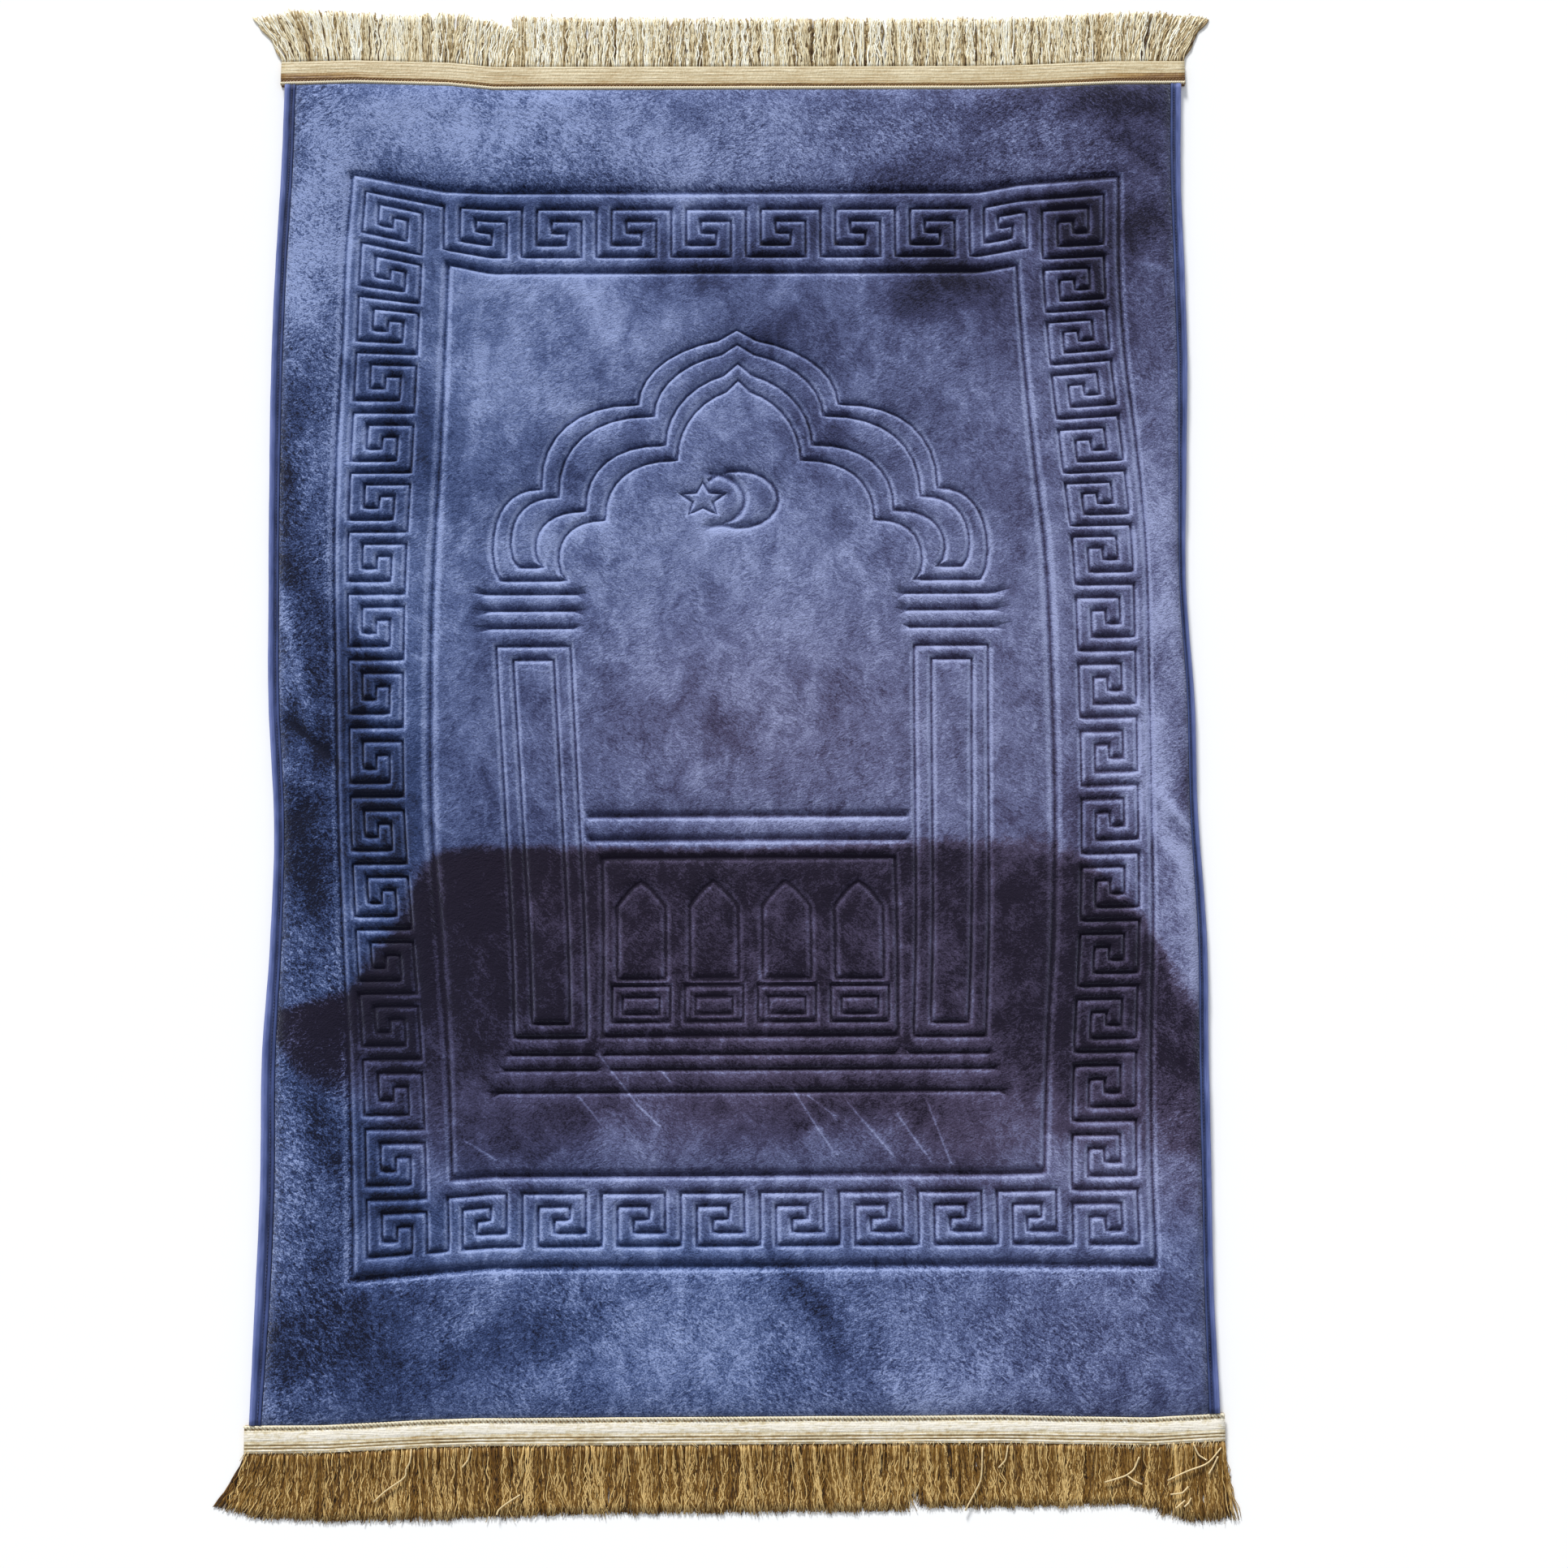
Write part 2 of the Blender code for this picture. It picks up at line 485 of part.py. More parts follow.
def pad_surface(lines):
    """The pad's upper side: points along every groove and fold, others between, all joined up."""
    half_x, half_y = BODY_HALF
    stops = [-half_x, *DRIFT_AT[1:-1], half_x]
    rim = [(x, -half_y) for x in stops] + [(x, half_y) for x in stops[::-1]]
    paths = [(subdivided(rim, True, EDGE_STEP), True)]
    for points, closed, width, _ in lines:
        paths += groove_outlines(subdivided(points, closed, GROOVE_STEP), closed, width)
    rings, creases = fold_points()
    paths += creases
    points, edges = [], []
    for path, closed in paths:
        first = len(points)
        points += path
        edges += [(first + k, first + (k + 1) % len(path))
                  for k in range(len(path) if closed else len(path) - 1)]
    counts = [int(2 * half / FIELD_STEP) for half in BODY_HALF]
    field = np.array([(half_x * (2 * (i + 0.5 + 0.25 * (j % 2)) / counts[0] - 1),
                       half_y * (2 * (j + 0.5) / counts[1] - 1))
                      for i in range(counts[0]) for j in range(counts[1])])
    for spots, clear_of in ((field, FIELD_CLEAR), (np.array(rings), CREASE_CLEAR)):
        clear = groove_distances(spots, lines)[1]
        inside = (np.abs(spots[:, 0]) < half_x - clear_of) & (clear > clear_of)
        points += [tuple(p) for p in spots[inside]]
    found = delaunay_2d_cdt([Vector(p) for p in points], edges, [], 0, 0.05)
    return np.array([tuple(v) for v in found[0]]), found[2]


def build_pad(lines, finish):
    """The pad: pressed upper side, flattened rim for the bindings to grip, flat underside."""
    at, faces = pad_surface(lines)
    height = pad_height(at, lines)
    bm = bmesh.new()
    verts = [bm.verts.new((x, y, z)) for (x, y), z in zip(at, height)]
    for face in faces:
        bm.faces.new([verts[k] for k in face])
    bmesh.ops.recalc_face_normals(bm, faces=bm.faces)
    ring = [edge for edge in bm.edges if edge.is_boundary]
    top_side, top_end, foot = RIM_SECTION
    steps = ((0.0, top_side, top_end), (1.0, top_side, top_end), (1.0, foot, foot),
             (0.0, foot, foot), (0.0, 0.0, 0.0))
    for reach, side_z, end_z in steps:
        made = bmesh.ops.extrude_edge_only(bm, edges=ring)["geom"]
        ring = [item for item in made if isinstance(item, bmesh.types.BMEdge)]
        for vert in {v for edge in ring for v in edge.verts}:
            on_end = abs(vert.co.y) > BODY_HALF[1] - 0.01
            on_side = abs(vert.co.x) > BODY_HALF[0] - 0.01
            by_end = abs(vert.co.y) > BODY_HALF[1] - RIM_TAPER
            if on_side:
                vert.co.x = np.sign(vert.co.x) * (BODY_HALF[0] + RIM_REACH[0] * reach)
            if on_end:
                vert.co.y = np.sign(vert.co.y) * (BODY_HALF[1] + RIM_REACH[1] * reach)
            vert.co.z = end_z if by_end else side_z
    bmesh.ops.triangle_fill(bm, use_beauty=True, use_dissolve=False, edges=ring)
    return build_node("mat", bm, finish)


def swept(section, marks):
    """A closed bar: the section (across, height) stood at each mark along the bar."""
    bm = bmesh.new()
    ring = [bm.verts.new((across, marks[0], z)) for across, z in section]
    edges = list(bm.faces.new(ring).edges)
    for mark in marks[1:]:
        made = bmesh.ops.extrude_edge_only(bm, edges=edges)["geom"]
        edges = [item for item in made if isinstance(item, bmesh.types.BMEdge)]
        for vert in {v for edge in edges for v in edge.verts}:
            vert.co.y = mark
    bmesh.ops.contextual_create(bm, geom=edges)
    bmesh.ops.recalc_face_normals(bm, faces=bm.faces)
    return bm


def build_binding(name, side, finish):
    """Folded tape along one long side, stitched down over the pad's rim."""
    marks = np.linspace(-BINDING_END, BINDING_END, BINDING_MARKS)
    return build_node(name, swept([(side * x, z) for x, z in BINDING_SECTION], marks), finish)


def fringe_table(rows, x):
    """Lean and length of the lock that stands at x, read from a fringe's table."""
    keys = [row[0] for row in rows]
    return (np.interp(x, keys, [row[1] for row in rows]),
            np.interp(x, keys, [row[2] for row in rows]))


def lock_marks(bends):
    """Where each lock begins and ends along the heading, with every bend between locks."""
    marks = [bends[0]]
    for start, end in zip(bends, bends[1:]):
        count = round((end - start) / LOCK_PITCH) or 1
        pitch = (end - start) / count
        for k in range(count):
            left = start + pitch * k + LOCK_GAP / 2
            marks += [left, left + pitch - LOCK_GAP]
        marks.append(end)
    return marks


def half_width(face):
    return max(vert.co.x for vert in face.verts) - face.calc_center_median().x


def grow_lock(bm, root, number, end, rows, crimp):
    """One lock out of a face of the heading's outer wall, its underside on the floor."""
    middle = root.calc_center_median().x
    lean, length = fringe_table(rows, middle)
    length *= 1 + LOCK_UNEVEN * sin(7.3 * number) * cos(2.9 * number)
    half = half_width(root)
    height = max(vert.co.z for vert in root.verts)
    face = root
    for share, width, thickness in LOCK_SECTION:
        face = bmesh.ops.extrude_discrete_faces(bm, faces=[face])["faces"][0]
        face_middle = face.calc_center_median().x
        centre = middle + lean * share ** LEAN_CURVE + crimp * sin(2.1 * number + 5 * share) * share
        sides = [np.sign(vert.co.x - face_middle) for vert in face.verts]
        for vert, side in zip(face.verts, sides):
            vert.co = Vector((centre + side * half * width, end * (HEADING_EDGE + length * share),
                              height * thickness if vert.co.z > 0 else 0.0))


def build_fringe(name, end, rows, crimp, finish):
    """Woven heading over one end of the pad, with its row of locks lying on the floor."""
    bends = [-HEADING_HALF, *DRIFT_AT, HEADING_HALF]
    bm = swept([(end * y, z) for y, z in HEADING_SECTION], lock_marks(bends))
    for vert in bm.verts:
        vert.co.x, vert.co.y = vert.co.y, vert.co.x
    bmesh.ops.recalc_face_normals(bm, faces=bm.faces)
    wall = [face for face in bm.faces
            if all(abs(abs(vert.co.y) - HEADING_EDGE) < 0.01 for vert in face.verts)]
    kept = {vert for face in wall for vert in face.verts}
    kept |= {vert for vert in bm.verts if min(abs(vert.co.x - bend) for bend in bends) < 0.01}
    bmesh.ops.dissolve_limit(bm, angle_limit=0.01,
                             verts=[vert for vert in bm.verts if vert not in kept],
                             edges=[edge for edge in bm.edges
                                    if not (edge.verts[0] in kept and edge.verts[1] in kept)])
    roots = sorted((face for face in wall if half_width(face) > LOCK_GAP),
                   key=lambda face: face.calc_center_median().x)
    for number, root in enumerate(roots):
        grow_lock(bm, root, number, end, rows, crimp)
    return build_node(name, bm, finish)


for leftover in list(bpy.data.objects):
    bpy.data.objects.remove(leftover)
rug = bpy.data.collections.new("prayer_rug")
bpy.context.scene.collection.children.link(rug)

plush = material("blue_plush", (0.10, 0.14, 0.30), 0.95)
satin = material("blue_binding", (0.05, 0.09, 0.26), 0.45)
pale_yarn = material("pale_gold_fringe", (0.66, 0.55, 0.33), 0.6)
gold_yarn = material("gold_fringe", (0.42, 0.28, 0.10), 0.55)

build_pad(pressed_lines(), plush)
build_binding("binding_left", -1, satin)
build_binding("binding_right", 1, satin)
build_fringe("fringe_far", 1, FRINGE_FAR, CRIMP_FAR, pale_yarn)
build_fringe("fringe_near", -1, FRINGE_NEAR, CRIMP_NEAR, gold_yarn)
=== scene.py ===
"""Padded plush prayer rug, laid flat: pressed pattern, taped sides, woven headings, fringes.

Sizes are millimetres on the straight pressing plate, x to the right, y to the far end and z up
from the floor. lay() moves a point to where the soft cloth has drifted, and laid() turns it
into the frame's metres.
"""

from math import cos, pi, radians, sin, sqrt

import bpy
import numpy as np
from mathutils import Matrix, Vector
from mathutils.geometry import delaunay_2d_cdt


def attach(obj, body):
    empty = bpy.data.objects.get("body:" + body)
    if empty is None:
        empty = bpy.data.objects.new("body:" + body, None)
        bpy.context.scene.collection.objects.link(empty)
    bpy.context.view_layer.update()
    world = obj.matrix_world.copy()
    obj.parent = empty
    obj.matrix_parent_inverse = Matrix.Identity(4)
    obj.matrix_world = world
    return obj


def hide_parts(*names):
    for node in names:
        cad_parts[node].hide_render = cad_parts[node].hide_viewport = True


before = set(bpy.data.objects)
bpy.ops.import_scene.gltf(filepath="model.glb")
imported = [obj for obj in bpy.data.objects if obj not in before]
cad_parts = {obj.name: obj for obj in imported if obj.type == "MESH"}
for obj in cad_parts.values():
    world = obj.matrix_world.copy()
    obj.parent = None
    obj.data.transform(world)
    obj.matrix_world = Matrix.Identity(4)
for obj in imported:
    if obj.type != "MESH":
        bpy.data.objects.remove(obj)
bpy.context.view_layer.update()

MM = 0.001
ORIGIN_SHIFT = 6.4                  # the origin is the middle of the rug with its fringes

# ---- camera and light ----
CAMERA_AT = (0.025, -0.3576, 2.106)
CAMERA_TURN = (8.46, -0.38, -0.31)
CAMERA_LENS, CAMERA_SENSOR = 57.0, 36.0
SUN_TURN, SUN_STRENGTH, SUN_SOFTNESS = (-64.0, 0.0, 14.0), 3.7, 12.0
FILL_COLOUR, FILL_STRENGTH = (0.93, 0.96, 1.0, 1.0), 0.56
FLOOR_HALF = 6.0                    # metres

# ---- the pad ----
BODY_HALF = (391.0, 580.0)          # where the pad meets its bindings and its headings
# Its height beside a groove, and how far it swells over a long and a short way from there.
PAD_HEIGHT, PAD_PUFF, PUFF_SPREAD, SHOULDER, SHOULDER_SPREAD = 9.0, 1.5, 11.0, 0.7, 2.4
RIM_HEIGHT = (6.8, 5.9)             # pad height where it meets the bindings and the headings
RIM_ROLL, RIM_ROUND = 24.0, 2.5     # how far in the pad comes up to its height, and how round
RIM_REACH = (8.5, 12.0)             # the flattened rim inside the bindings and the headings
RIM_SECTION = (5.9, 3.7, 1.7)       # its top in the bindings, its top in the headings, its foot
RIM_TAPER = 50.0                    # how far from its ends the rim is as low as in the headings
# Lines that the surface follows along a groove: half widths out, and millimetres beyond that.
GROOVE_LINES = ((0.35, 0.0), (0.75, 0.0), (1.15, 0.0), (1.15, 2.0))
GROOVE_FLAT, GROOVE_RIM = 0.2, 1.15     # a groove's floor and its rim, in half widths
# Painted highlights and shade round a groove, by distance from its middle line: light on walls that
# face sideways and dark on their floor, in shares of its width, and light on the near lip of one
# that runs across the rug, dark on its far lip and pressed floor.
WALL_AT, WALL_SPREAD, FLOOR_SPREAD, FLOOR_DARK = 0.44, 0.27, 0.18, 0.85
LIP_AT, LIP_SPREAD, PRESSED_DARK, FAR_DARK = 0.6, 1.7, 0.75, 0.3
GROOVE_STEP, FIELD_STEP, FIELD_CLEAR = 6.5, 7.0, 4.5
GROOVE_SIGHT, MITRE_LIMIT = 60.0, 1.7   # how far a groove is felt, how far a corner may reach
# How near two points merge, how near the rim they count as on it, and rounds for unlaid().
WELD, ON_RIM, UNLAY_ROUNDS = 0.03, 0.02, 6
CREASE_OFFSETS, CREASE_STEP, CREASE_CLEAR = (-0.9, -0.45, 0.0, 0.45, 0.9), 4.0, 2.0
FOLD_PAINTED_LIGHT = 0.42                  # painted light and shade on the folds: how much lighter for each millimetre up, darker for each down
CREASE_END, CREASE_FALL = 0.08, 0.6     # where a crease's ends start, and how slowly it falls
RIPPLE = 0.35                       # the plush's own slow waves
RIPPLE_WAVES = ((61.0, 97.0, 0.0), (-140.0, 53.0, 1.3), (33.0, -71.0, 2.1), (-47.0, 29.0, 0.4))

# Puckers of the margins: middle x, y, reach across, reach along, height.
PUCKERS = (
    (-369, -72, 12, 13, -2.8),
    (-372, -20, 12, 14, 0.9),
    (-361, -140, 12, 24, -1.2),
    (-384, 190, 10, 40, -0.9),
    (362, -20, 14, 30, 0.8),
    (384, -62, 8, 22, -1.6),
    (372, -175, 16, 45, 1.4),
    (364, 90, 12, 40, 1),
    (374, -270, 12, 26, -1),
    (372, 330, 14, 70, -0.9),
)
# Creases of the margins: from x, y, to x, y, width, height.
CREASES = (
    (-398, 122, -373, 42, 5, 2.2),
    (-377, 56, -363, -10, 4.5, 2.5),
    (-386, 9, -338, -36, 5, -3),
    (-390, -38, -346, -58, 9, 1.8),
    (-369, -165, -360, -190, 6, 1.1),
    (-378, -366, -352, -382, 5, 1.1),
    (344, 526, 382, 490, 7, -1.6),
    (350, 470, 386, 442, 8, -1),
    (346, 414, 386, 402, 5, 1),
    (354, -55, 391, -99, 5, 2.4),
    (357, -279, 386, -304, 6, -1.8),
    (350, -335, 386, -344, 7, 0.9),
    (-20, -552, -60, -574, 9, -0.8),
    (-345, 545, -290, 560, 14, 0.8),
)

# ---- the lie of the nap: 0 dark, 1 light ----
NAP_LEVEL = 0.53
# Brushed patches on the laid rug, and a few that paint highlights onto the margins' puckers and
# shade into their hollows: middle x, y, reach across, reach along, change.
NAP_AND_FOLD_LIGHT_PATCHES = (
    (-230, 545, 150, 42, 0.29), (25, 532, 115, 40, 0.15), (160, 500, 70, 26, -0.22),
    (345, 555, 75, 42, -0.42), (250, 560, 50, 24, -0.18), (-376, 430, 34, 140, 0.34),
    (-385, 180, 24, 120, -0.34), (-330, 300, 36, 42, -0.26), (-346, 235, 20, 42, 0.22),
    (-300, 255, 26, 50, -0.20), (-352, 80, 30, 90, -0.36), (-365, -130, 30, 70, -0.36),
    (-390, -250, 22, 60, -0.2), (-372, -440, 22, 60, -0.10), (-388, -500, 18, 90, 0.26),
    (50, 440, 300, 28, -0.25), (165, 385, 46, 42, -0.46), (340, 425, 48, 64, -0.46),
    (255, 360, 70, 34, -0.20), (-150, 385, 80, 36, 0.20), (-200, 300, 90, 40, 0.26),
    (-170, 245, 44, 40, -0.16), (40, 335, 46, 30, -0.22), (-85, 252, 40, 26, -0.14),
    (82, 255, 36, 28, -0.20), (20, 128, 250, 48, 0.18), (-180, 175, 60, 30, 0.12),
    (60, 60, 60, 30, 0.10), (-30, -12, 110, 16, -0.12), (0, -62, 170, 24, 0.08),
    (230, 120, 60, 90, 0.03), (372, 170, 26, 200, 0.15), (386, -165, 24, 52, 0.6),
    (-60, -345, 50, 36, 0.20), (-180, -335, 70, 26, -0.10), (110, -345, 70, 24, -0.16),
    (225, -335, 44, 36, 0.14), (-320, -500, 56, 56, -0.40), (-200, -525, 60, 34, -0.26),
    (-55, -535, 62, 44, 0.20), (60, -505, 34, 24, -0.24), (160, -540, 60, 36, 0.24),
    (-230, -430, 120, 20, 0.06), (-310, -390, 60, 40, -0.26), (-345, -55, 46, 90, -0.24),
    (-60, 250, 120, 90, 0.12), (60, 20, 170, 60, 0.06), (375, 40, 24, 220, 0.1),
    (-150, 503, 170, 24, 0.17), (386, -110, 22, 60, 0.2), (-180, -75, 60, 40, -0.12),
    (-295, -85, 40, 60, -0.3), (-360, 20, 20, 60, -0.14), (-398, 20, 16, 80, -0.24),
    # This row's three are painted light and shade on the left margin's puckers and crease.
    (-380, -15, 10, 12, 0.3), (-362, -47, 16, 10, 0.24), (-370, -74, 11, 11, -0.3),
    (-298, -225, 42, 135, -0.23), (-205, -190, 60, 80, -0.14), (-338, -310, 34, 80, -0.22),
    (280, -250, 40, 90, -0.1), (300, -105, 50, 36, -0.2), (80, -230, 170, 90, 0.04),
    (-85, 205, 40, 40, 0.08), (-82, 375, 40, 30, 0.08), (-80, 40, 50, 40, 0.07),
)
PATCH_EDGE = 1.3                    # 1 fades a patch as a bell, more keeps its middle even
# How the patches' outlines waver: reach, wave lengths; and how each way turns with the other.
NAP_WARP = ((19.0, 83.0, 37.0), (11.0, 31.0, 61.0), (6.0, 17.0, 13.0))
WARP_TURN = (0.7, -0.4)
# A wide painted shadow across the near half of the rug: x, its far edge, its near edge, and how
# soft each is.
SHADOW_BAND = (
    (-400, -243, -265, 20, 20), (-381, -243, -278, 20, 20), (-362, -238, -306, 22, 24),
    (-328, -228, -322, 40, 40), (-300, -191, -335, 80, 70), (-280, -150, -348, 80, 90),
    (-258, -112, -356, 36, 90), (-212, -106, -362, 20, 90), (0, -109, -362, 22, 90),
    (200, -104, -362, 44, 90), (264, -108, -350, 50, 80), (290, -122, -346, 50, 60),
    (312, -148, -343, 50, 50), (340, -178, -342, 50, 40), (359, -215, -345, 60, 40),
    (400, -262, -345, 70, 40),
)
SHADOW_DEPTH, SHADOW_FADE = 0.53, 0.52      # how dark it is at its far edge, and what is left near
SHADOW_CALM = 0.4                     # how much fainter the grooves' painted light and shade is in the painted shadow
SHADOW_WARP = (0.3, 0.5)              # how far the warp moves the band's line, and its near edge
# How coarse the pile looks: in the field, in the margins, and then left and right more or less.
FIELD_COARSE, MARGIN_COARSE, LEFT_COARSER, RIGHT_FINER = 0.95, 1.75, 0.6, 0.5
# How violet the plush shows: all over, then gained to the right and to the near end over a
# reach, gained in the middle (reach across, along), and lost left of x and near of y.
VIOLET_BASE, VIOLET_RIGHT, VIOLET_NEAR = 0.37, (0.35, 300.0), (0.13, 500.0)
VIOLET_MIDDLE = (0.45, 190.0, 110.0)
VIOLET_LOSS = (0.4, -250.0, 60.0), (0.5, -380.0, 80.0)
# Thin light strokes drawn in the nap, on the laid rug.
STROKES = (
    ((-132, -317), (-118, -334)), ((-115, -283), (-83, -324), (-64, -342)),
    ((-64, -295), (-57, -303)), ((46, -310), (61, -334), (79, -361)),
    ((93, -323), (111, -344), (129, -365)), ((135, -334), (161, -370)),
    ((159, -321), (178, -372)), ((-228, -352), (-202, -368)),
    ((59, -316), (81, -333)),
)
STROKE_WIDTH, STROKE_LIGHT, STROKE_OFFSETS = 1.0, 0.34, (-1.4, 0.0, 1.4)
STROKE_REACH = 1.6                  # in widths: where a stroke has faded out

# ---- folded tape along the long sides: section as (across, height), round the pad's rim ----
TAPE_SECTION = ((391.4, 0), (400, 0), (400.9, 0.6), (401.3, 2.6), (401.3, 5.2),
                (400.8, 6.8), (399.6, 7.7), (398.2, 8.1), (396.9, 7.9), (395.7, 7.1),
                (394.5, 6.5), (393.7, 7), (392.9, 7.6), (392, 7.6), (391.4, 7.1),
                (391.4, 6.2), (399.9, 6.2), (399.9, 1.4), (391.4, 1.4))
# Its lightness, from each distance across outward: lip, stitched ditch darkened with painted shade,
# face and outer edge.
TAPE_TONES = ((391.0, 0.4), (393.5, 0.22), (396.0, 0.6), (399.0, 0.9))
TAPE_END, TAPE_STEP = 580.0, 5.0
TAPE_STITCH = (394.3, 6.9, 2.9)         # across, height, from one stitch to the next
STITCH_LENGTH, STITCH_RADIUS, STITCH_MARGIN = 0.78, 0.36, 3.0   # the length in shares of that
# Every stitch's rings, in shares of its length, how thick each is, and its sides.
STITCH_RINGS, STITCH_TAPER, STITCH_SIDES = (-0.5, -0.3, 0.3, 0.5), (0.45, 1.0, 1.0, 0.45), 6
# Slow waves of the tape's upper side: height, length, share of the side's phase, shift per
# corner of the section.
TAPE_WAVES = ((0.28, 17.0, 1.0, 0.3), (0.22, 7.3, 2.0, 0.0), (0.15, 4.1, 0.0, 1.0))
TAPE_PHASE, WAVES_ABOVE = 1.7, 4.5

# ---- woven headings: section as (along, height, lightness), its last corners unseen ----
HEADING_EDGE, HEADING_HALF, HEADING_STEP = 603.0, 405.0, 6.0
HEADING_WAVES = ((0.18, 23.0, 1.0, 0.0), (0.12, 9.1, 0.0, 0.2))
# The far heading is browner towards its ends: from x, over, how much, up to this far along.
END_SHADE = (285.0, 110.0, 0.55, 591.0)
HEADING_FOOT = ((603, 0, 0.3), (580.4, 0, 0.3), (580.4, 1.4, 0.3), (592.4, 1.4, 0.3),
                (592.4, 4, 0.3), (580.4, 4, 0.3))
# Rows set lower between the ribs are darker: painted shade, and by the far heading's cord also the
# brown of its stitched ditch.
HEADING_FAR = ((580.4, 5.4, 0.8), (581.6, 5.9, 0.9), (583, 5.6, 0.6), (584, 5, 0.1),
               (585.8, 5, 0.12), (586.4, 5.4, 0.6), (587.2, 5.4, 0.75), (587.8, 5, 0.4),
               (588.6, 5.1, 0.7), (590, 5.2, 0.78), (590.7, 4.9, 0.6), (591.5, 5.1, 0.8),
               (593, 5, 0.74), (593.7, 4.7, 0.58), (594.5, 4.9, 0.8), (596.3, 4.8, 0.76),
               (597, 4.5, 0.6), (597.8, 4.7, 0.82), (599.6, 4.5, 0.78), (600.6, 4.1, 0.6),
               (601.6, 4.3, 0.86), (602.6, 4, 0.8), (603, 3, 0.5))
HEADING_NEAR = ((580.4, 5.4, 0.9), (581.3, 5.8, 0.95), (582.2, 5.3, 0.8), (583.4, 5, 0.7),
                (584.6, 5.4, 0.8), (586, 5.6, 0.95), (588.5, 5.6, 1), (591, 5.4, 0.98),
                (593, 5.2, 0.9), (594, 4.8, 0.6), (594.9, 5.2, 0.76), (595.8, 5.2, 0.78),
                (596.5, 4.4, 0.2), (597.4, 4.9, 0.78), (598.4, 4.9, 0.8), (599.1, 4.1, 0.2),
                (600, 4.7, 0.84), (601, 4.7, 0.88), (601.7, 4.2, 0.5), (602.4, 4.3, 0.9),
                (603, 3.2, 0.7))
# The headings' cords and stitches: name, end, from one stitch to the next, along, height,
# direction, length, radius.
HEADING_SEWING = (
    ("heading_far_cord", 1, 1.9, 581.9, 5.9, (0.8, 0.6, 0.0), 3.1, 1.0),
    ("heading_far_stitches", 1, 3.0, 585.0, 5.2, (0.9, 0.3, 0.0), 2.0, 0.6),
    ("heading_near_stitches", -1, 6.0, 583.4, 5.3, (0.75, 0.5, 0.0), 2.2, 0.7),
    ("heading_near_cord", -1, 3.0, 581.8, 5.9, (0.8, -0.6, 0.0), 3.6, 0.9),
)
SEWING_MARGIN = 1.0

# ---- fringes ----
END_SLOTS = {1: "pale_fringe", -1: "gold_fringe"}       # looks of the far and the near end
LEAN_CURVE = 1.4
UNDER_THICKER, UNDER_SHORTER = 1.1, 0.05
ROOT_DEPTH, ROOT_MARGIN = 1.2, 0.5      # how far a strand starts inside the heading and its ends
GATHER, GATHER_SOON = 0.35, 3           # how far and how soon it leans to its tuft's middle
# Its height at the root and at rest, each on the floor and gained up to the top layer.
ROOT_HEIGHT, REST_HEIGHT, REST_CURVE, REST_SOON = (0.6, 2.9), (0.45, 1.1), 1.5, 1.6
SNAKE_LIFT, TIP_TAPER, LOWEST = 0.4, 0.6, 0.05
LAYER_SHADE, TIP_PAINTED_LIGHT = (0.03, 0.7), 0.16      # painted shade by layer: tone on the floor, gained up to the top; painted light at its tip
# How much strands differ at random, and the share of it that a tuft's strands have in common.
LEAN_COMMON, LENGTH_VARIES, PHASE_VARIES, SNAKE_VARIES = 0.6, (0.035, 0.4), (4.0, 0.4), (0.6, 0.5)
WAVE_VARIES, BOW_VARIES, TONE_VARIES = (0.25, 0.3), (0.8, 0.3), (0.34, 0.3)
# Strands: tuft width, how far they snake, length of one wave, how unruly they are, radius, and
# how much darker they get to the right.
FAR_TUFTS = (4.2, 1.0, 24.0, 3.6, 0.56, 0.07)
NEAR_TUFTS = (2.4, 1.1, 19.0, 6.5, 0.44, -0.04)
HAIR_TUFTS = (1.5, 0.6, 12.0, 5.0, 0.3, 0.0)
STRAND_SIDES = 3
# x, how far the tips lean sideways, how long the locks are.
FRINGE_FAR = ((-405, -26, 43), (-380, -14, 50), (-345, -4, 47), (-309, -1, 44), (-250, 1, 48),
              (-222, 6, 44), (-206, 8, 38), (-199, 6, 35), (-196, 0, 49), (-120, 0, 47),
              (120, 0, 46), (235, 1, 46), (310, 2, 46), (370, 11, 48), (405, 25, 42))
FRINGE_NEAR = ((-405, -17, 44), (-380, -11, 52), (-345, -3, 54), (-250, 0, 58), (-120, 0, 55),
               (110, 0, 54), (140, -3, 54), (146, 0, 38), (152, 3, 51), (215, 1, 52),
               (320, 0, 48), (345, 0, 51), (372, 2, 63), (405, 3, 62))
# The same for short pale ends of the near heading's own yarns.
NEAR_HAIRS = ((-405, -2, 6), (-100, 0, 5), (200, 0, 7), (340, -2, 10), (405, -8, 16))
# Name, end, lie, tufts, how many strands, points along each, lowest layer, seed.
STRANDS = (
    ("fringe_far_yarns_0", 1, FRINGE_FAR, FAR_TUFTS, 1800, 13, 0.0, 11),
    ("fringe_far_yarns_1", 1, FRINGE_FAR, FAR_TUFTS, 1500, 13, 0.5, 12),
    ("fringe_near_yarns_0", -1, FRINGE_NEAR, NEAR_TUFTS, 3400, 9, 0.0, 21),
    ("fringe_near_yarns_1", -1, FRINGE_NEAR, NEAR_TUFTS, 3400, 9, 0.5, 22),
    ("heading_near_hairs", -1, NEAR_HAIRS, HAIR_TUFTS, 420, 6, 1.0, 31),
)
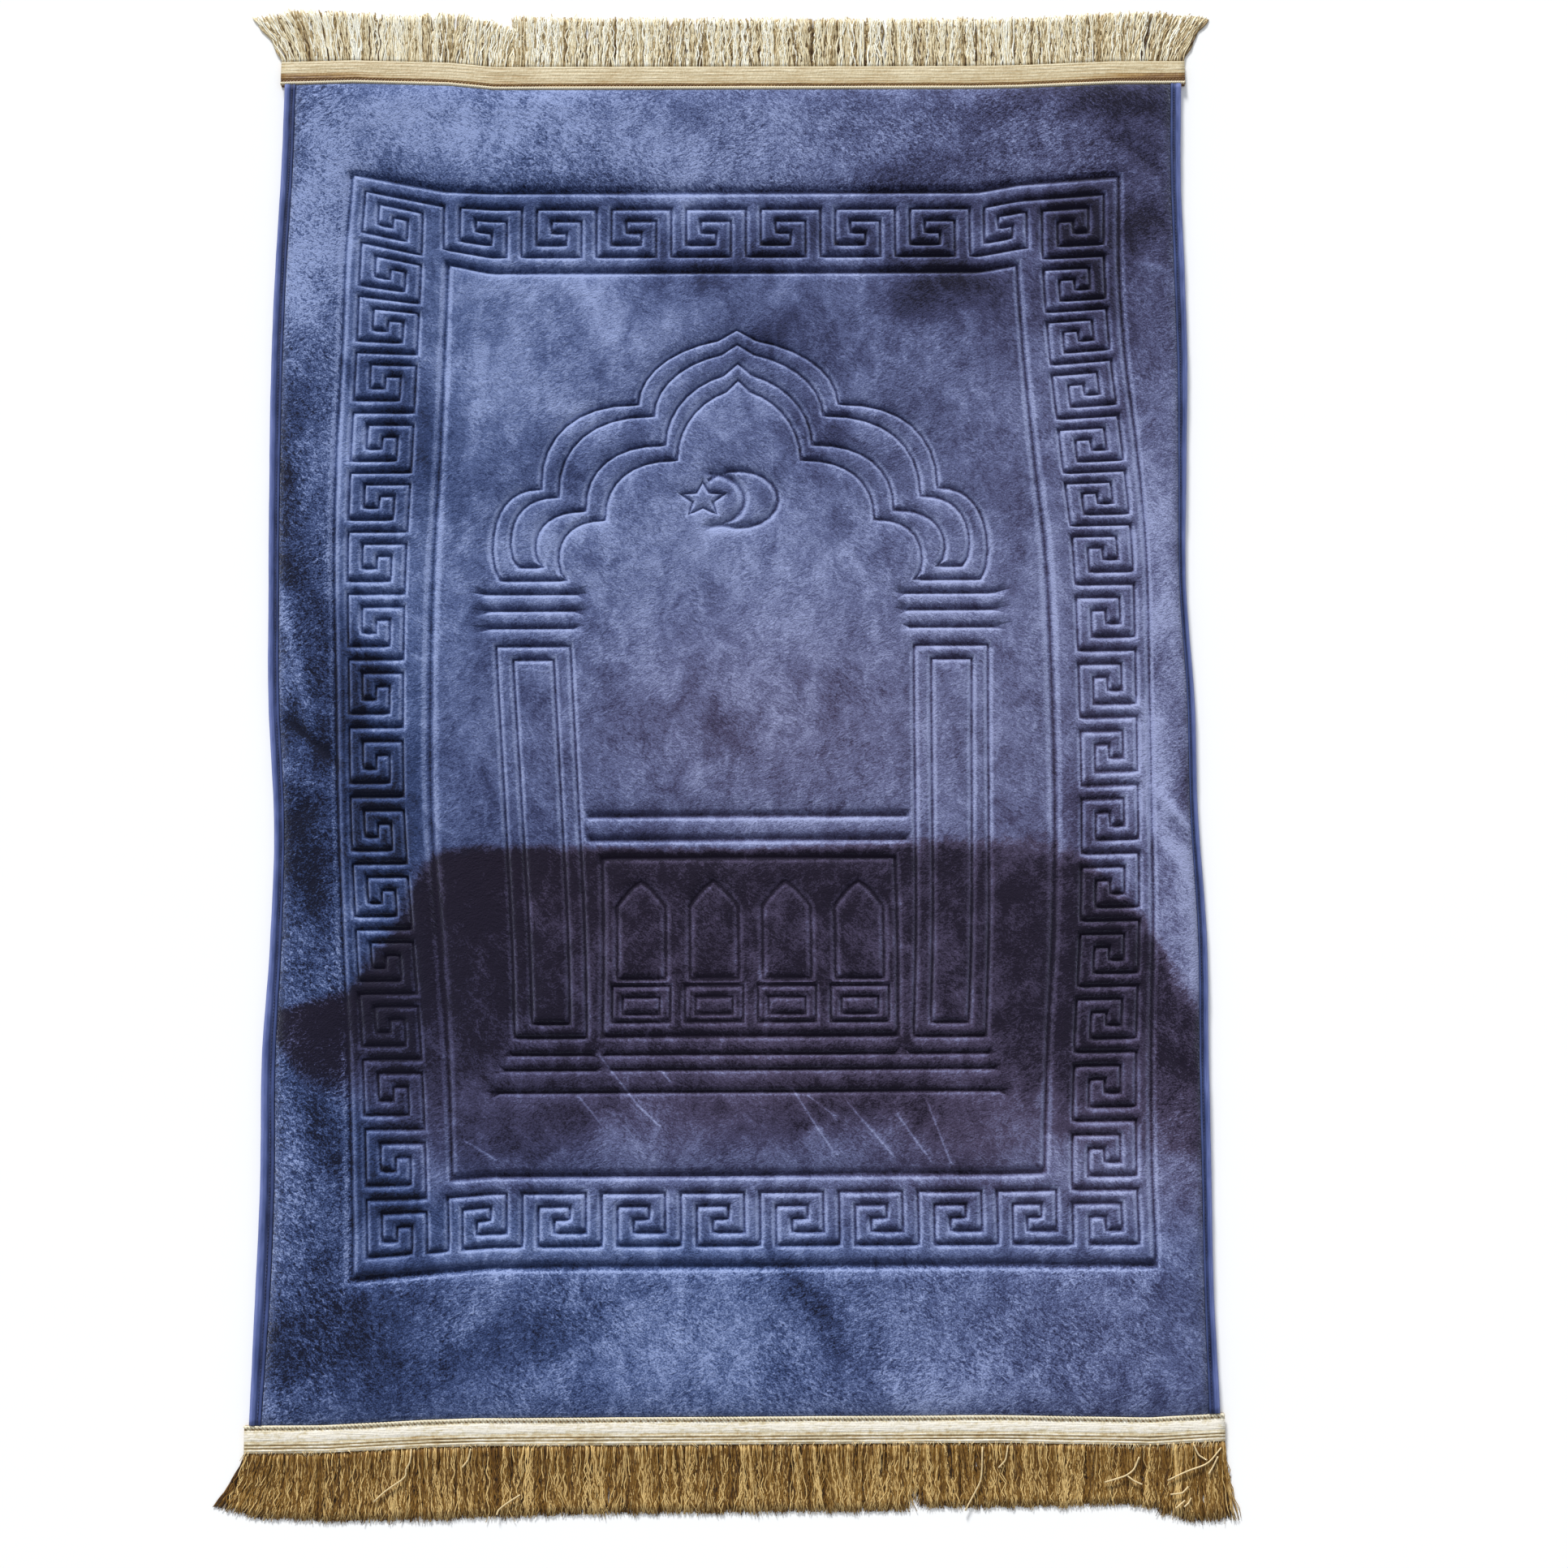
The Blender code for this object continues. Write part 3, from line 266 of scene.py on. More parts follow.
# Threads that have come loose on the near fringe: how thick and high they are, how far and how
# often they rise and fall, their points and sides, how many times their path is smoothed.
STRAY_RADIUS, STRAY_HEIGHT, STRAY_WAVE, STRAY_PACE = 0.72, 4.2, 0.5, 2
STRAY_POINTS, STRAY_SIDES, STRAY_ROUNDS = 14, 5, 2
STRAYS = (
    ((-269, -603), (-269, -616), (-275, -619), (-271, -624), (-278, -629),
     (-290, -636), (-299, -645)),
    ((-179, -640), (-189, -646), (-197, -652), (-198, -656)),
    ((-220, -603), (-222, -612), (-227, -618)),
    ((330, -613), (326, -623), (319, -628), (301, -633)),
    ((398, -606), (387, -619), (370, -624), (353, -632)),
    ((370, -637), (365, -642), (355, -643)),
    ((201, -604), (200, -630), (194, -641), (186, -655)),
    ((222, -603), (220, -615), (214, -621)),
    ((375, -603), (379, -612), (386, -616)),
    ((395, -613), (391, -621), (387, -627)),
    ((372, -646), (370, -650), (366, -653)),
    ((367, -648), (363, -651), (359, -654)),
    ((320, -628), (325, -632), (332, -635)),
)


# ---- the pressed pattern as its plate was cut, straight and even ----
FRAME_OUTER = (340.0, 472.0)        # half width, half length
FRAME_INNER = (250.5, 398.0)
KEY_OUTER = (327.0, 456.0)          # the key's outermost winding
KEY_STEP = (13.35, 912.0 / 84.0)    # from one winding to the next: across, and 84 steps down
KEY_ROW_STEP = 13.2                 # the same along the two end rows
KEY_CELLS_DOWN, KEY_CELLS_ACROSS = 17, 8
KEY_CELL_STEPS, KEY_WINDINGS = 5, 4     # steps along in one turn, and windings to the inmost
# One turn of the key: (steps along the border, windings in from its outer side).
KEY_CELL = ((0, 0), (4, 0), (4, 3), (2, 3), (2, 2), (3, 2), (3, 1), (1, 1), (1, 4), (5, 4))

# The arch's four lines, outermost first: tip height, then the two cusps and the foot.
ARCH_LINES = (
    # tip    cusp 1         cusp 2         foot
    (337.5, (87.5, 260), (172.5, 176.5), (207.5, 89)),
    (322, (74, 248.5), (157.5, 168.5), (192, 101)),
    (302, (64, 219.5), (134, 154.5), (170.5, 101)),
    (285, (54, 204.5), (117, 145.5), (150.5, 89)),
)
ARCH_TIP_REACH = 1.2                # the top lobe's round centre past the axis, share of its span
ARCH_TIP_SHARE = 0.9                # how much of the tip's rise the round takes
ARCH_BELLY = 7.0                    # how far the lowest lobe stands outside its foot
ARCH_BELLY_RISE, ARCH_ANKLE = 0.3, (0.7, 0.12)   # where it does so, and where it draws in
LOBE_FULLNESS = 0.85                # 1 is a plain quarter round, less is fuller
LOBE_POINTS = 8


def lobe(start, end):
    """Quarter round that leaves its start level and reaches its end upright."""
    angles = [pi / 2 * k / LOBE_POINTS for k in range(1, LOBE_POINTS + 1)]
    return [(start[0] + (end[0] - start[0]) * sin(a) ** LOBE_FULLNESS,
             end[1] + (start[1] - end[1]) * abs(cos(a)) ** LOBE_FULLNESS) for a in angles]


def arch_line(line):
    """One line of the arch from its left foot over the tip to its right foot."""
    tip, cusp_1, cusp_2, foot = line
    reach, rise = cusp_1[0] * ARCH_TIP_REACH, (tip - cusp_1[1]) * ARCH_TIP_SHARE
    half = [(0.0, tip)]
    for k in range(1, LOBE_POINTS + 1):
        x = cusp_1[0] * sin(pi / 2 * k / LOBE_POINTS)
        out = 1 - (cusp_1[0] - x) / reach
        half.append((x, cusp_1[1] + rise * sqrt(max(0.0, 1 - out * out))))
    leg = cusp_2[1] - foot[1]
    half += lobe(cusp_1, cusp_2)
    half += lobe(cusp_2, (foot[0] + ARCH_BELLY, foot[1] + ARCH_BELLY_RISE * leg))
    half += [(foot[0] + ARCH_ANKLE[0] * ARCH_BELLY, foot[1] + ARCH_ANKLE[1] * leg), foot]
    return [(-x, y) for x, y in half[:0:-1]] + half


def arch_loops():
    """The arch's two closed outlines: its outer and inner edges, and the band between them."""
    lines = [arch_line(line) for line in ARCH_LINES]
    return [lines[0] + lines[3][::-1], lines[1] + lines[2][::-1]]


def box(cx, cy, half_w, half_h):
    return [(cx - half_w, cy - half_h), (cx + half_w, cy - half_h),
            (cx + half_w, cy + half_h), (cx - half_w, cy + half_h)]


def key_column(side):
    """The key down one side column; side is +1 right, -1 left."""
    points = [(side * (KEY_OUTER[0] - KEY_STEP[0] * inward),
               KEY_OUTER[1] - KEY_STEP[1] * (KEY_CELL_STEPS * cell + along))
              for cell in range(KEY_CELLS_DOWN) for along, inward in KEY_CELL]
    points[-1] = (points[-1][0], -KEY_OUTER[1])
    return points


def key_row(end):
    """The key along one end row, right to left; end is +1 far, -1 near."""
    start = KEY_OUTER[0] - KEY_WINDINGS * KEY_STEP[0]
    points = [(start - KEY_ROW_STEP * (KEY_CELL_STEPS * cell + along),
               end * (KEY_OUTER[1] - KEY_STEP[1] * inward))
              for cell in range(KEY_CELLS_ACROSS) for along, inward in KEY_CELL]
    return points + [(points[-1][0], end * KEY_OUTER[1])]


def key_loop():
    """The whole key: down the right, along the near row, up the left, back along the far row."""
    return key_column(1) + key_row(-1)[1:] + key_column(-1)[::-1] + key_row(1)[::-1][:-1]


# ---- pillars, balustrade and steps ----
PILLAR_TOP, PILLAR_FOOT = 32.0, -287.0     # heights of the pillar's outer outline
PILLAR_LEAN = (180.0, 168.0)               # its middle line at the top and at the foot
PILLAR_HALF = (32.0, 30.5)                 # half width, outer outline, top and foot
PILLAR_INSET = (14.5, 11.5)                # the inner outline's inset: sides, ends
CAPITAL_BARS = ((77.0, 38.5), (62.5, 36.0), (47.5, 35.0))    # height, half width
RAIL_BARS = ((-106.0, 135.0), (-125.0, 134.0))
PANEL = (0.0, -213.0, 124.5, 73.0)         # middle x, y, half width, half height
WINDOWS, WINDOW_PITCH, WINDOW_HALF = 4, 61.5, 20.5
WINDOW_TIP, WINDOW_SPRING, WINDOW_FOOT = -159.0, -179.5, -238.5
WINDOW_BULGE, WINDOW_POINTS = 0.75, 4      # 1 is a straight-sided point, less is rounder
SILL_BOXES = ((-259.5, 24.5, 15.0), (-261.0, 15.5, 7.0))     # height, half width, half height

# Steps: three lines; the middle flight narrows down, the side ones widen.
STEP_LINES = (
    # height, middle half width, side from, side to
    (-301, 121.5, 134.5, 199.5),
    (-313.5, 117.5, 129.5, 205),
    (-331.5, 111, 121, 209.5),
)


def pillar(side):
    """Outer and inner outlines of one pillar."""
    outlines = []
    for inset_x, inset_y in ((0.0, 0.0), PILLAR_INSET):
        top, foot = PILLAR_TOP - inset_y, PILLAR_FOOT + inset_y
        outlines.append([(side * PILLAR_LEAN[0] - PILLAR_HALF[0] + inset_x, top),
                         (side * PILLAR_LEAN[1] - PILLAR_HALF[1] + inset_x, foot),
                         (side * PILLAR_LEAN[1] + PILLAR_HALF[1] - inset_x, foot),
                         (side * PILLAR_LEAN[0] + PILLAR_HALF[0] - inset_x, top)])
    return outlines


def window(cx):
    """A pointed window: two flat arcs from the springing to the tip."""
    rise = WINDOW_TIP - WINDOW_SPRING
    half = [(WINDOW_HALF * (1 - k / WINDOW_POINTS) ** WINDOW_BULGE,
             WINDOW_SPRING + rise * k / WINDOW_POINTS) for k in range(WINDOW_POINTS + 1)]
    right = [(WINDOW_HALF, WINDOW_FOOT)] + half
    return [(cx + x, y) for x, y in right] + [(cx - x, y) for x, y in right[-2::-1]]


# ---- crescent and star ----
# Arcs: middle, radii, from and to angle, points.
CRESCENT_OUTER = ((-1.0, 166.0), (34.5, 28.0), (-112.0, 140.0), 14)
CRESCENT_INNER = ((-27.0, 165.5), (31.0, 26.0), (-85.0, 85.0), 10)
STAR_TIPS, STAR_MIDDLE, STAR_RADII, STAR_STRETCH = 5, (-32.0, 165.5), (18.0, 8.0), 1.15


def arc(middle, radii, angles, count):
    lo, hi = angles
    return [(middle[0] + radii[0] * cos((lo + (hi - lo) * k / count) * pi / 180),
             middle[1] + radii[1] * sin((lo + (hi - lo) * k / count) * pi / 180))
            for k in range(count + 1)]


def star():
    return [(STAR_MIDDLE[0] + STAR_STRETCH * STAR_RADII[k % 2] * sin(pi * k / STAR_TIPS),
             STAR_MIDDLE[1] + STAR_RADII[k % 2] * cos(pi * k / STAR_TIPS))
            for k in range(2 * STAR_TIPS)]


# How wide and how deep each groove is pressed.
GROOVES = {
    "outer frame": (7.5, 3.0), "inner frame": (7.0, 3.0), "key": (5.0, 2.6), "arch": (5.0, 2.6),
    "capital": (5.0, 2.8), "pillar": (5.0, 2.6), "rail": (6.5, 2.8), "panel": (6.0, 2.6),
    "window": (6.0, 2.2), "sill": (4.5, 2.0), "step": (4.5, 2.2), "star": (4.5, 2.2),
    "crescent back": (6.5, 2.6), "crescent face": (8.0, 2.6),
}


def pressed_lines():
    """Every groove: (points, closed, width, depth)."""
    lines = []

    def press(kind, points, closed=True):
        lines.append((points, closed, *GROOVES[kind]))

    press("outer frame", box(0, 0, *FRAME_OUTER))
    press("inner frame", box(0, 0, *FRAME_INNER))
    press("key", key_loop())
    for loop in arch_loops():
        press("arch", loop)
    for side in (-1, 1):
        middle = side * PILLAR_LEAN[0]
        for y, half in CAPITAL_BARS:
            press("capital", [(middle - half, y), (middle + half, y)], False)
        for outline in pillar(side):
            press("pillar", outline)
        for y, _, start, end in STEP_LINES:
            press("step", [(side * start, y), (side * end, y)], False)
    for y, half, _, _ in STEP_LINES:
        press("step", [(-half, y), (half, y)], False)
    for y, half in RAIL_BARS:
        press("rail", [(-half, y), (half, y)], False)
    press("panel", box(*PANEL))
    for k in range(WINDOWS):
        cx = (k - (WINDOWS - 1) / 2) * WINDOW_PITCH
        press("window", window(cx))
        for middle, half_w, half_h in SILL_BOXES:
            press("sill", box(cx, middle, half_w, half_h))
    press("crescent back", arc(*CRESCENT_OUTER), False)
    press("crescent face", arc(*CRESCENT_INNER), False)
    press("star", star())
    return lines


# ---- how the mat lies: the plate's straight lines drift as the plush does ----
# Each row has its height on the plate, then seven columns of drift sideways and seven along:
# edge, outer frame, inner frame, middle, inner frame, outer frame, edge. The middle holds between
# two places, so the columns are read at these eight.
DRIFT_AT = (-400, -340, -255, -215, 215, 255, 340, 400)
DRIFT_COLUMNS = (0, 1, 2, 3, 3, 4, 5, 6)
DRIFT = (
    # row  sideways                                      along
    (580, (0.2, 0, 0, 0, 0, 0, -2.2), (0, 1.5, -1, -5.2, -4.5, -1, -1)),
    (472, (-1.4, 1, -3, 0, -2, 1, -5.1), (15, 25, 9, 7, 14, 21, 12)),
    (400, (-3.8, -3, -3, 0, -2, -1, -4.2), (20, 35, 16, 7, 14, 18, 10)),
    (300, (-5.5, -5, -5.5, 2, 3, 2, -4.2), (20, 40, 36, 20, 24, 31, 20)),
    (200, (-4.6, -8, -8.5, 3, 11, 11, -8), (20, 39, 39, 30, 34, 38, 20)),
    (100, (-2.8, -8, -13.5, 4, 20, 16.5, -11.2), (20, 41, 41, 38, 46, 47, 20)),
    (0, (-0.3, -4, -15, 6, 23, 16, -6.8), (20, 35, 35, 36, 40, 41, 20)),
    (-100, (7.1, 0, -12.5, 9, 23, 15, -6.8), (15, 25, 25, 28, 31, 33, 20)),
    (-200, (6.2, 6, -3, 11.5, 19, 13.5, -2.4), (15, 21, 21, 22, 25, 26, 15)),
    (-300, (1.7, 13, 6.5, 11, 11, 9, -3.9), (15, 20, 20, 20, 23, 24, 15)),
    (-400, (2.9, 18, 12.5, 9, 6, 7, -4.7), (10, 13, 14, 17, 18, 18, 10)),
    (-472, (1.4, 19.5, 14, 9, 5, 8, -5.7), (5, 6, 13, 16, 15, 15, 10)),
    (-580, (-1.3, 0, 0, 0, 0, 0, -3.4), (-3, -2.8, 1, 1.9, 1, -0.8, 2)),
)


def between_rows(group, column, at):
    """One column of the table of drift, read between its rows along a smooth curve."""
    keys = np.array([row[0] for row in DRIFT])[::-1]
    values = np.array([row[group][column] for row in DRIFT])[::-1]
    slopes = np.gradient(values, keys)
    k = np.clip(np.searchsorted(keys, at) - 1, 0, len(keys) - 2)
    gap = keys[k + 1] - keys[k]
    t = np.clip((at - keys[k]) / gap, 0.0, 1.0)
    return ((2 * t**3 - 3 * t**2 + 1) * values[k] + (t**3 - 2 * t**2 + t) * gap * slopes[k]
            + (3 * t**2 - 2 * t**3) * values[k + 1] + (t**3 - t**2) * gap * slopes[k + 1])


def drift(group, x, y):
    """How far the cloth has drifted at a point of the plate: group 1 sideways, 2 along."""
    marks = [between_rows(group, column, y) for column in DRIFT_COLUMNS]
    total = marks[0]
    for k in range(1, len(marks)):
        t = np.clip((x - DRIFT_AT[k - 1]) / (DRIFT_AT[k] - DRIFT_AT[k - 1]), 0, 1)
        total = total + (marks[k] - marks[k - 1]) * t
    return total


def lay(x, y):
    """Where a point of the plate lies on the floor."""
    x, y = np.asarray(x, float), np.asarray(y, float)
    return x + drift(1, x, y), y + drift(2, x, y)


# ---- grooves as lines for the surface to follow ----
def subdivided(points, closed, step):
    """The same line with no gap between its points wider than the step."""
    ends = points[1:] + points[:1] if closed else points[1:]
    line = []
    for start, end in zip(points, ends):
        count = max(1, int(np.ceil(np.hypot(end[0] - start[0], end[1] - start[1]) / step)))
        line += [(start[0] + (end[0] - start[0]) * k / count,
                  start[1] + (end[1] - start[1]) * k / count) for k in range(count)]
    return line if closed else line + [points[-1]]


def offset_line(points, closed, distance):
    """The line moved sideways to its left, its corners mitred."""
    line = np.array(points, float)
    count = len(line)
    moved = []
    for k in range(count):
        before = line[k] - line[k - 1] if closed or k > 0 else line[1] - line[0]
        after = line[(k + 1) % count] - line[k] if closed or k < count - 1 else before
        before, after = before / np.hypot(*before), after / np.hypot(*after)
        side = np.array([-(before[1] + after[1]), before[0] + after[0]])
        side /= max(np.hypot(*side), 1e-6)
        spread = max(side[0] * -before[1] + side[1] * before[0], 1.0 / MITRE_LIMIT)
        moved.append(tuple(line[k] + side * distance / spread))
    return moved


def smooth_step(t):
    t = np.clip(t, 0, 1)
    return t * t * (3 - 2 * t)


def gap_to(at, start, end):
    """How far each point lies from a straight line, and where along it: 0 to 1."""
    start, along = np.asarray(start, float), np.subtract(end, start).astype(float)
    rel = at - start
    share = np.clip((rel @ along) / max(along @ along, 1e-9), 0, 1)
    return np.hypot(*(rel - share[:, None] * along).T), share


def groove_distances(at, lines):
    """For each point: pressed depth, share of that groove's depth, distance to the rims, painted
    light and shade.

    The painted light and shade beside a groove: highlights on walls that face sideways and on the
    near lip of a groove that runs across, painted shade on its far wall and on the pressed floors.
    """
    depth_at, share_at, painted_light_at = np.zeros((3, len(at)))
    clear, nearest = np.full((2, len(at)), np.inf)
    for points, closed, width, depth in lines:
        line = np.array(points, float)
        ends = np.roll(line, -1, axis=0) if closed else line[1:]
        for a, b in zip(line, ends):
            low, high = np.minimum(a, b) - GROOVE_SIGHT, np.maximum(a, b) + GROOVE_SIGHT
            near = np.flatnonzero(np.all((at > low) & (at < high), axis=1))
            gap, along = gap_to(at[near], a, b)
            press = 1 - smooth_step((gap / (width / 2) - GROOVE_FLAT) / (GROOVE_RIM - GROOVE_FLAT))
            depth_at[near] = np.maximum(depth_at[near], depth * press)
            share_at[near] = np.maximum(share_at[near], press)
            clear[near] = np.minimum(clear[near], np.maximum(gap - GROOVE_RIM * width / 2, 0))
            far_side = (at[near, 1] - a[1] - along * (b[1] - a[1])) / np.maximum(gap, 1e-6)
            upright = abs(b[1] - a[1]) / np.hypot(*(b - a))
            wall = (np.exp(-((gap / width - WALL_AT) / WALL_SPREAD) ** 2)
                    - FLOOR_DARK * np.exp(-(gap / width / FLOOR_SPREAD) ** 2))
            lip = np.exp(-((gap - width / 2 - LIP_AT) / LIP_SPREAD) ** 2)
            level = (lip * np.where(far_side < 0, -far_side, -FAR_DARK * far_side)
                     - PRESSED_DARK * press)
            closer = gap / width < nearest[near]
            nearest[near] = np.where(closer, gap / width, nearest[near])
            # Sideways walls get a painted highlight and shaded floor; grooves across get a lit near
            # lip and a shaded far wall.
            painted_light_at[near] = np.where(closer, upright * wall + (1 - upright) * level, painted_light_at[near])
    return depth_at, share_at, clear, painted_light_at


def fold_height(x, y):
    """How far the puckers and creases lift or sink the laid rug."""
    height = np.zeros(len(x))
    for mid_x, mid_y, across, along, rise in PUCKERS:
        height += rise * np.exp(-((x - mid_x) / across) ** 2 - ((y - mid_y) / along) ** 2)
    for x0, y0, x1, y1, width, rise in CREASES:
        gap, share = gap_to(np.column_stack((x, y)), (x0, y0), (x1, y1))
        fade = np.sin(pi * np.clip(share, CREASE_END, 1 - CREASE_END)) ** CREASE_FALL
        height += rise * fade * np.exp(-(gap / width) ** 2)
    return height


def pad_height(at, lines):
    """Height of the pad's upper side at points of the plate, and the light and shade painted on it
    by grooves and folds.
    """
    depth, share, clear, painted_light = groove_distances(at, lines)
    height = (PAD_HEIGHT - SHOULDER - depth + PAD_PUFF * (1 - np.exp(-clear / PUFF_SPREAD))
              + SHOULDER * (1 - np.exp(-clear / SHOULDER_SPREAD)))
    x, y = lay(at[:, 0], at[:, 1])
    for across, along, phase in RIPPLE_WAVES:
        height += RIPPLE * np.sin(x / across + y / along + phase) * (1 - share)
    fold = fold_height(x, y)
    height += fold
    # Folds get a painted highlight where they rise and painted shade where they sink.
    painted_light += FOLD_PAINTED_LIGHT * fold
    for rim, inward in ((RIM_HEIGHT[0], BODY_HALF[0] - np.abs(at[:, 0])),
                        (RIM_HEIGHT[1], BODY_HALF[1] - np.abs(at[:, 1]))):
        height += (rim - height) * np.clip(1 - inward / RIM_ROLL, 0, 1) ** RIM_ROUND
    return height, painted_light


def nap_and_painted_shadow(x, y):
    """How the nap lies on the laid rug: its tone; and the painted shadow band, its far edge and its
    fade.
    """
    wx, wy = np.array(x, float), np.array(y, float)
    for reach, wave_x, wave_y in NAP_WARP:
        wx, wy = (wx + reach * np.sin(wy / wave_y + WARP_TURN[0] * wx / wave_x),
                  wy + reach * np.sin(wx / wave_x + WARP_TURN[1] * wy / wave_y))
    nap = np.full(len(wx), NAP_LEVEL)
    for mid_x, mid_y, across, along, change in NAP_AND_FOLD_LIGHT_PATCHES:
        off = ((wx - mid_x) / across) ** 2 + ((wy - mid_y) / along) ** 2
        nap += change * np.exp(-off ** PATCH_EDGE)
    keys, *edges = zip(*SHADOW_BAND)
    place = x + SHADOW_WARP[0] * (wx - x)
    far, near, far_soft, near_soft = (np.interp(place, keys, edge) for edge in edges)
    band = smooth_step((far - y) / far_soft + 0.5)
    fade = (smooth_step((y + SHADOW_WARP[1] * (wy - y) - near) / near_soft + 0.5)
            * (SHADOW_FADE + (1 - SHADOW_FADE) * np.clip((y - near) / (far - near), 0, 1)))
    at = np.column_stack((x, y))
    stroke = np.zeros(len(wx))
    for line in STROKES:
        for start, end in zip(line, line[1:]):
            gap = gap_to(at, start, end)[0]
            stroke = np.maximum(stroke, np.clip(STROKE_REACH - gap / STROKE_WIDTH, 0, 1))
    return nap + STROKE_LIGHT * stroke, band, fade


def coarseness(at):
    """How coarse the pile looks at points of the plate."""
    side, along = at[:, 0], np.abs(at[:, 1])
    margin = (np.abs(side) > FRAME_OUTER[0]) | (along > FRAME_OUTER[1])
    return (np.where(margin, MARGIN_COARSE, FIELD_COARSE)
            + LEFT_COARSER * (side < -FRAME_OUTER[0]) - RIGHT_FINER * (side > FRAME_OUTER[0]))


def violet_share(x, y):
    """How violet the plush shows on the laid rug."""
    middle, across, along = VIOLET_MIDDLE
    share = (VIOLET_BASE + VIOLET_RIGHT[0] * np.clip(x / VIOLET_RIGHT[1], -1, 1)
             - VIOLET_NEAR[0] * np.clip(y / VIOLET_NEAR[1], -1, 1)
             + middle * np.exp(-(x / across) ** 2 - (y / along) ** 2))
    for value, (loss, start, reach) in zip((x, y), VIOLET_LOSS):
        share -= loss * smooth_step((start - value) / reach)
    return np.clip(share, 0, 1)


# ---- meshes ----
TUBE_TURN = pi / 6                  # gives a three-sided strand a flat upper side


def added(name, data):
    """A new object, linked to the scene."""
    made = bpy.data.objects.new(name, data)
    bpy.context.scene.collection.objects.link(made)
    return made


def laid(points):
    """Plate millimetres to the frame's metres, where the cloth lies."""
    points = np.asarray(points, float).reshape(-1, 3)
    x, y = lay(points[:, 0], points[:, 1])
    return np.column_stack((x, y + ORIGIN_SHIFT, points[:, 2])) * MM


def add_piece(name, points, faces, finishes, slot, replaces=None, **values):
    """A piece of the rug from points in metres; values become the mesh's own attributes."""
    mesh = bpy.data.meshes.new(name)
    mesh.from_pydata(np.asarray(points).tolist(), [], faces)
    mesh.shade_smooth()
    for finish in finishes:
        mesh.materials.append(finish)
    for key, value in values.items():
        mesh.attributes.new(key, "FLOAT", "POINT").data.foreach_set("value", value)
    piece = added(name, mesh)
    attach(piece, "root")
    if replaces:
        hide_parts(replaces)
    return piece


def tube_faces(tubes, rings, around):
    """Faces of closed tubes whose points are listed tube by tube and ring by ring."""
    first = np.arange(tubes) * rings * around
    k = np.arange(around)
    a = first[:, None, None] + (np.arange(rings - 1) * around)[None, :, None] + k
    b = a - k + (k + 1) % around
    sides = np.stack((a, b, b + around, a + around), -1).reshape(-1, 4)
    return (sides.tolist() + (first[:, None] + k[::-1]).tolist()
            + (first[:, None] + (rings - 1) * around + k).tolist())


def tubes(paths, radius, around):
    """Points round each path; paths is (tube, ring, xyz), and radius one number per ring."""
    along = np.gradient(paths, axis=1)
    along /= np.maximum(np.linalg.norm(along, axis=2, keepdims=True), 1e-9)
    side = np.cross(along, (0.0, 0.0, 1.0))
    side /= np.maximum(np.linalg.norm(side, axis=2, keepdims=True), 1e-9)
    up = np.cross(side, along)
    turns = 2 * pi * np.arange(around) / around + TUBE_TURN
    reach = np.broadcast_to(radius, paths.shape[:2])[..., None, None]
    ring = (side[:, :, None] * np.cos(turns)[None, None, :, None]
            + up[:, :, None] * np.sin(turns)[None, None, :, None])
    return (paths[:, :, None] + ring * reach).reshape(-1, 3)


def stitches(name, middles, direction, length, radius, finish, slot):
    """A row of short round stitches, each tapered at its ends."""
    spread = np.array(STITCH_RINGS)
    paths = (np.asarray(middles)[:, None]
             + spread[None, :, None] * length * np.asarray(direction, float)[None, None])
    points = tubes(paths, radius * np.array(STITCH_TAPER), STITCH_SIDES)
    return add_piece(name, laid(points), tube_faces(len(paths), len(spread), STITCH_SIDES),
                     [finish], slot)


# ---- finishes ----
SHEEN_ROUGHNESS = 0.45
# Colours are written in screen values, and ramps as (lightness, colour).
PLUSH_BLUE = ((0.02, (8, 12, 34)), (0.36, (46, 61, 102)), (0.60, (82, 98, 142)),
              (0.95, (142, 157, 200)))
PLUSH_VIOLET = ((0.02, (24, 16, 34)), (0.36, (72, 64, 90)), (0.60, (104, 104, 138)),
                (0.95, (154, 158, 194)))
BACKING_BLUE = ((0.2, (30, 38, 70)), (0.8, (48, 58, 98)))
TAPE_BLUE = ((0.05, (20, 26, 56)), (0.5, (66, 80, 130)), (0.95, (108, 120, 174)))
PALE_WEAVE = ((0.05, (106, 70, 26)), (0.35, (162, 128, 72)), (0.7, (192, 174, 135)),
              (1.0, (228, 216, 184)))
GOLD_WEAVE = ((0.05, (96, 66, 24)), (0.4, (170, 138, 84)), (0.75, (216, 203, 170)),
              (1.0, (243, 236, 221)))
PALE_YARN = ((0.0, (76, 50, 18)), (0.28, (172, 146, 98)), (0.6, (238, 224, 186)),
             (1.0, (255, 253, 238)))
GOLD_YARN = ((0.0, (34, 18, 2)), (0.35, (98, 64, 16)), (0.65, (140, 101, 38)),
             (1.0, (228, 194, 128)))
CREAM_YARN = ((0.0, (146, 108, 54)), (1.0, (238, 214, 164)))
NAVY, PALE, BROWN, CREAM = (34, 44, 88), (255, 243, 210), (146, 106, 50), (250, 222, 166)
FLOOR_WHITES = (250, 250, 249), (252, 252, 252)
THREAD_DARK = 0.7                   # how dark a thread's painted shade is, where it turns under
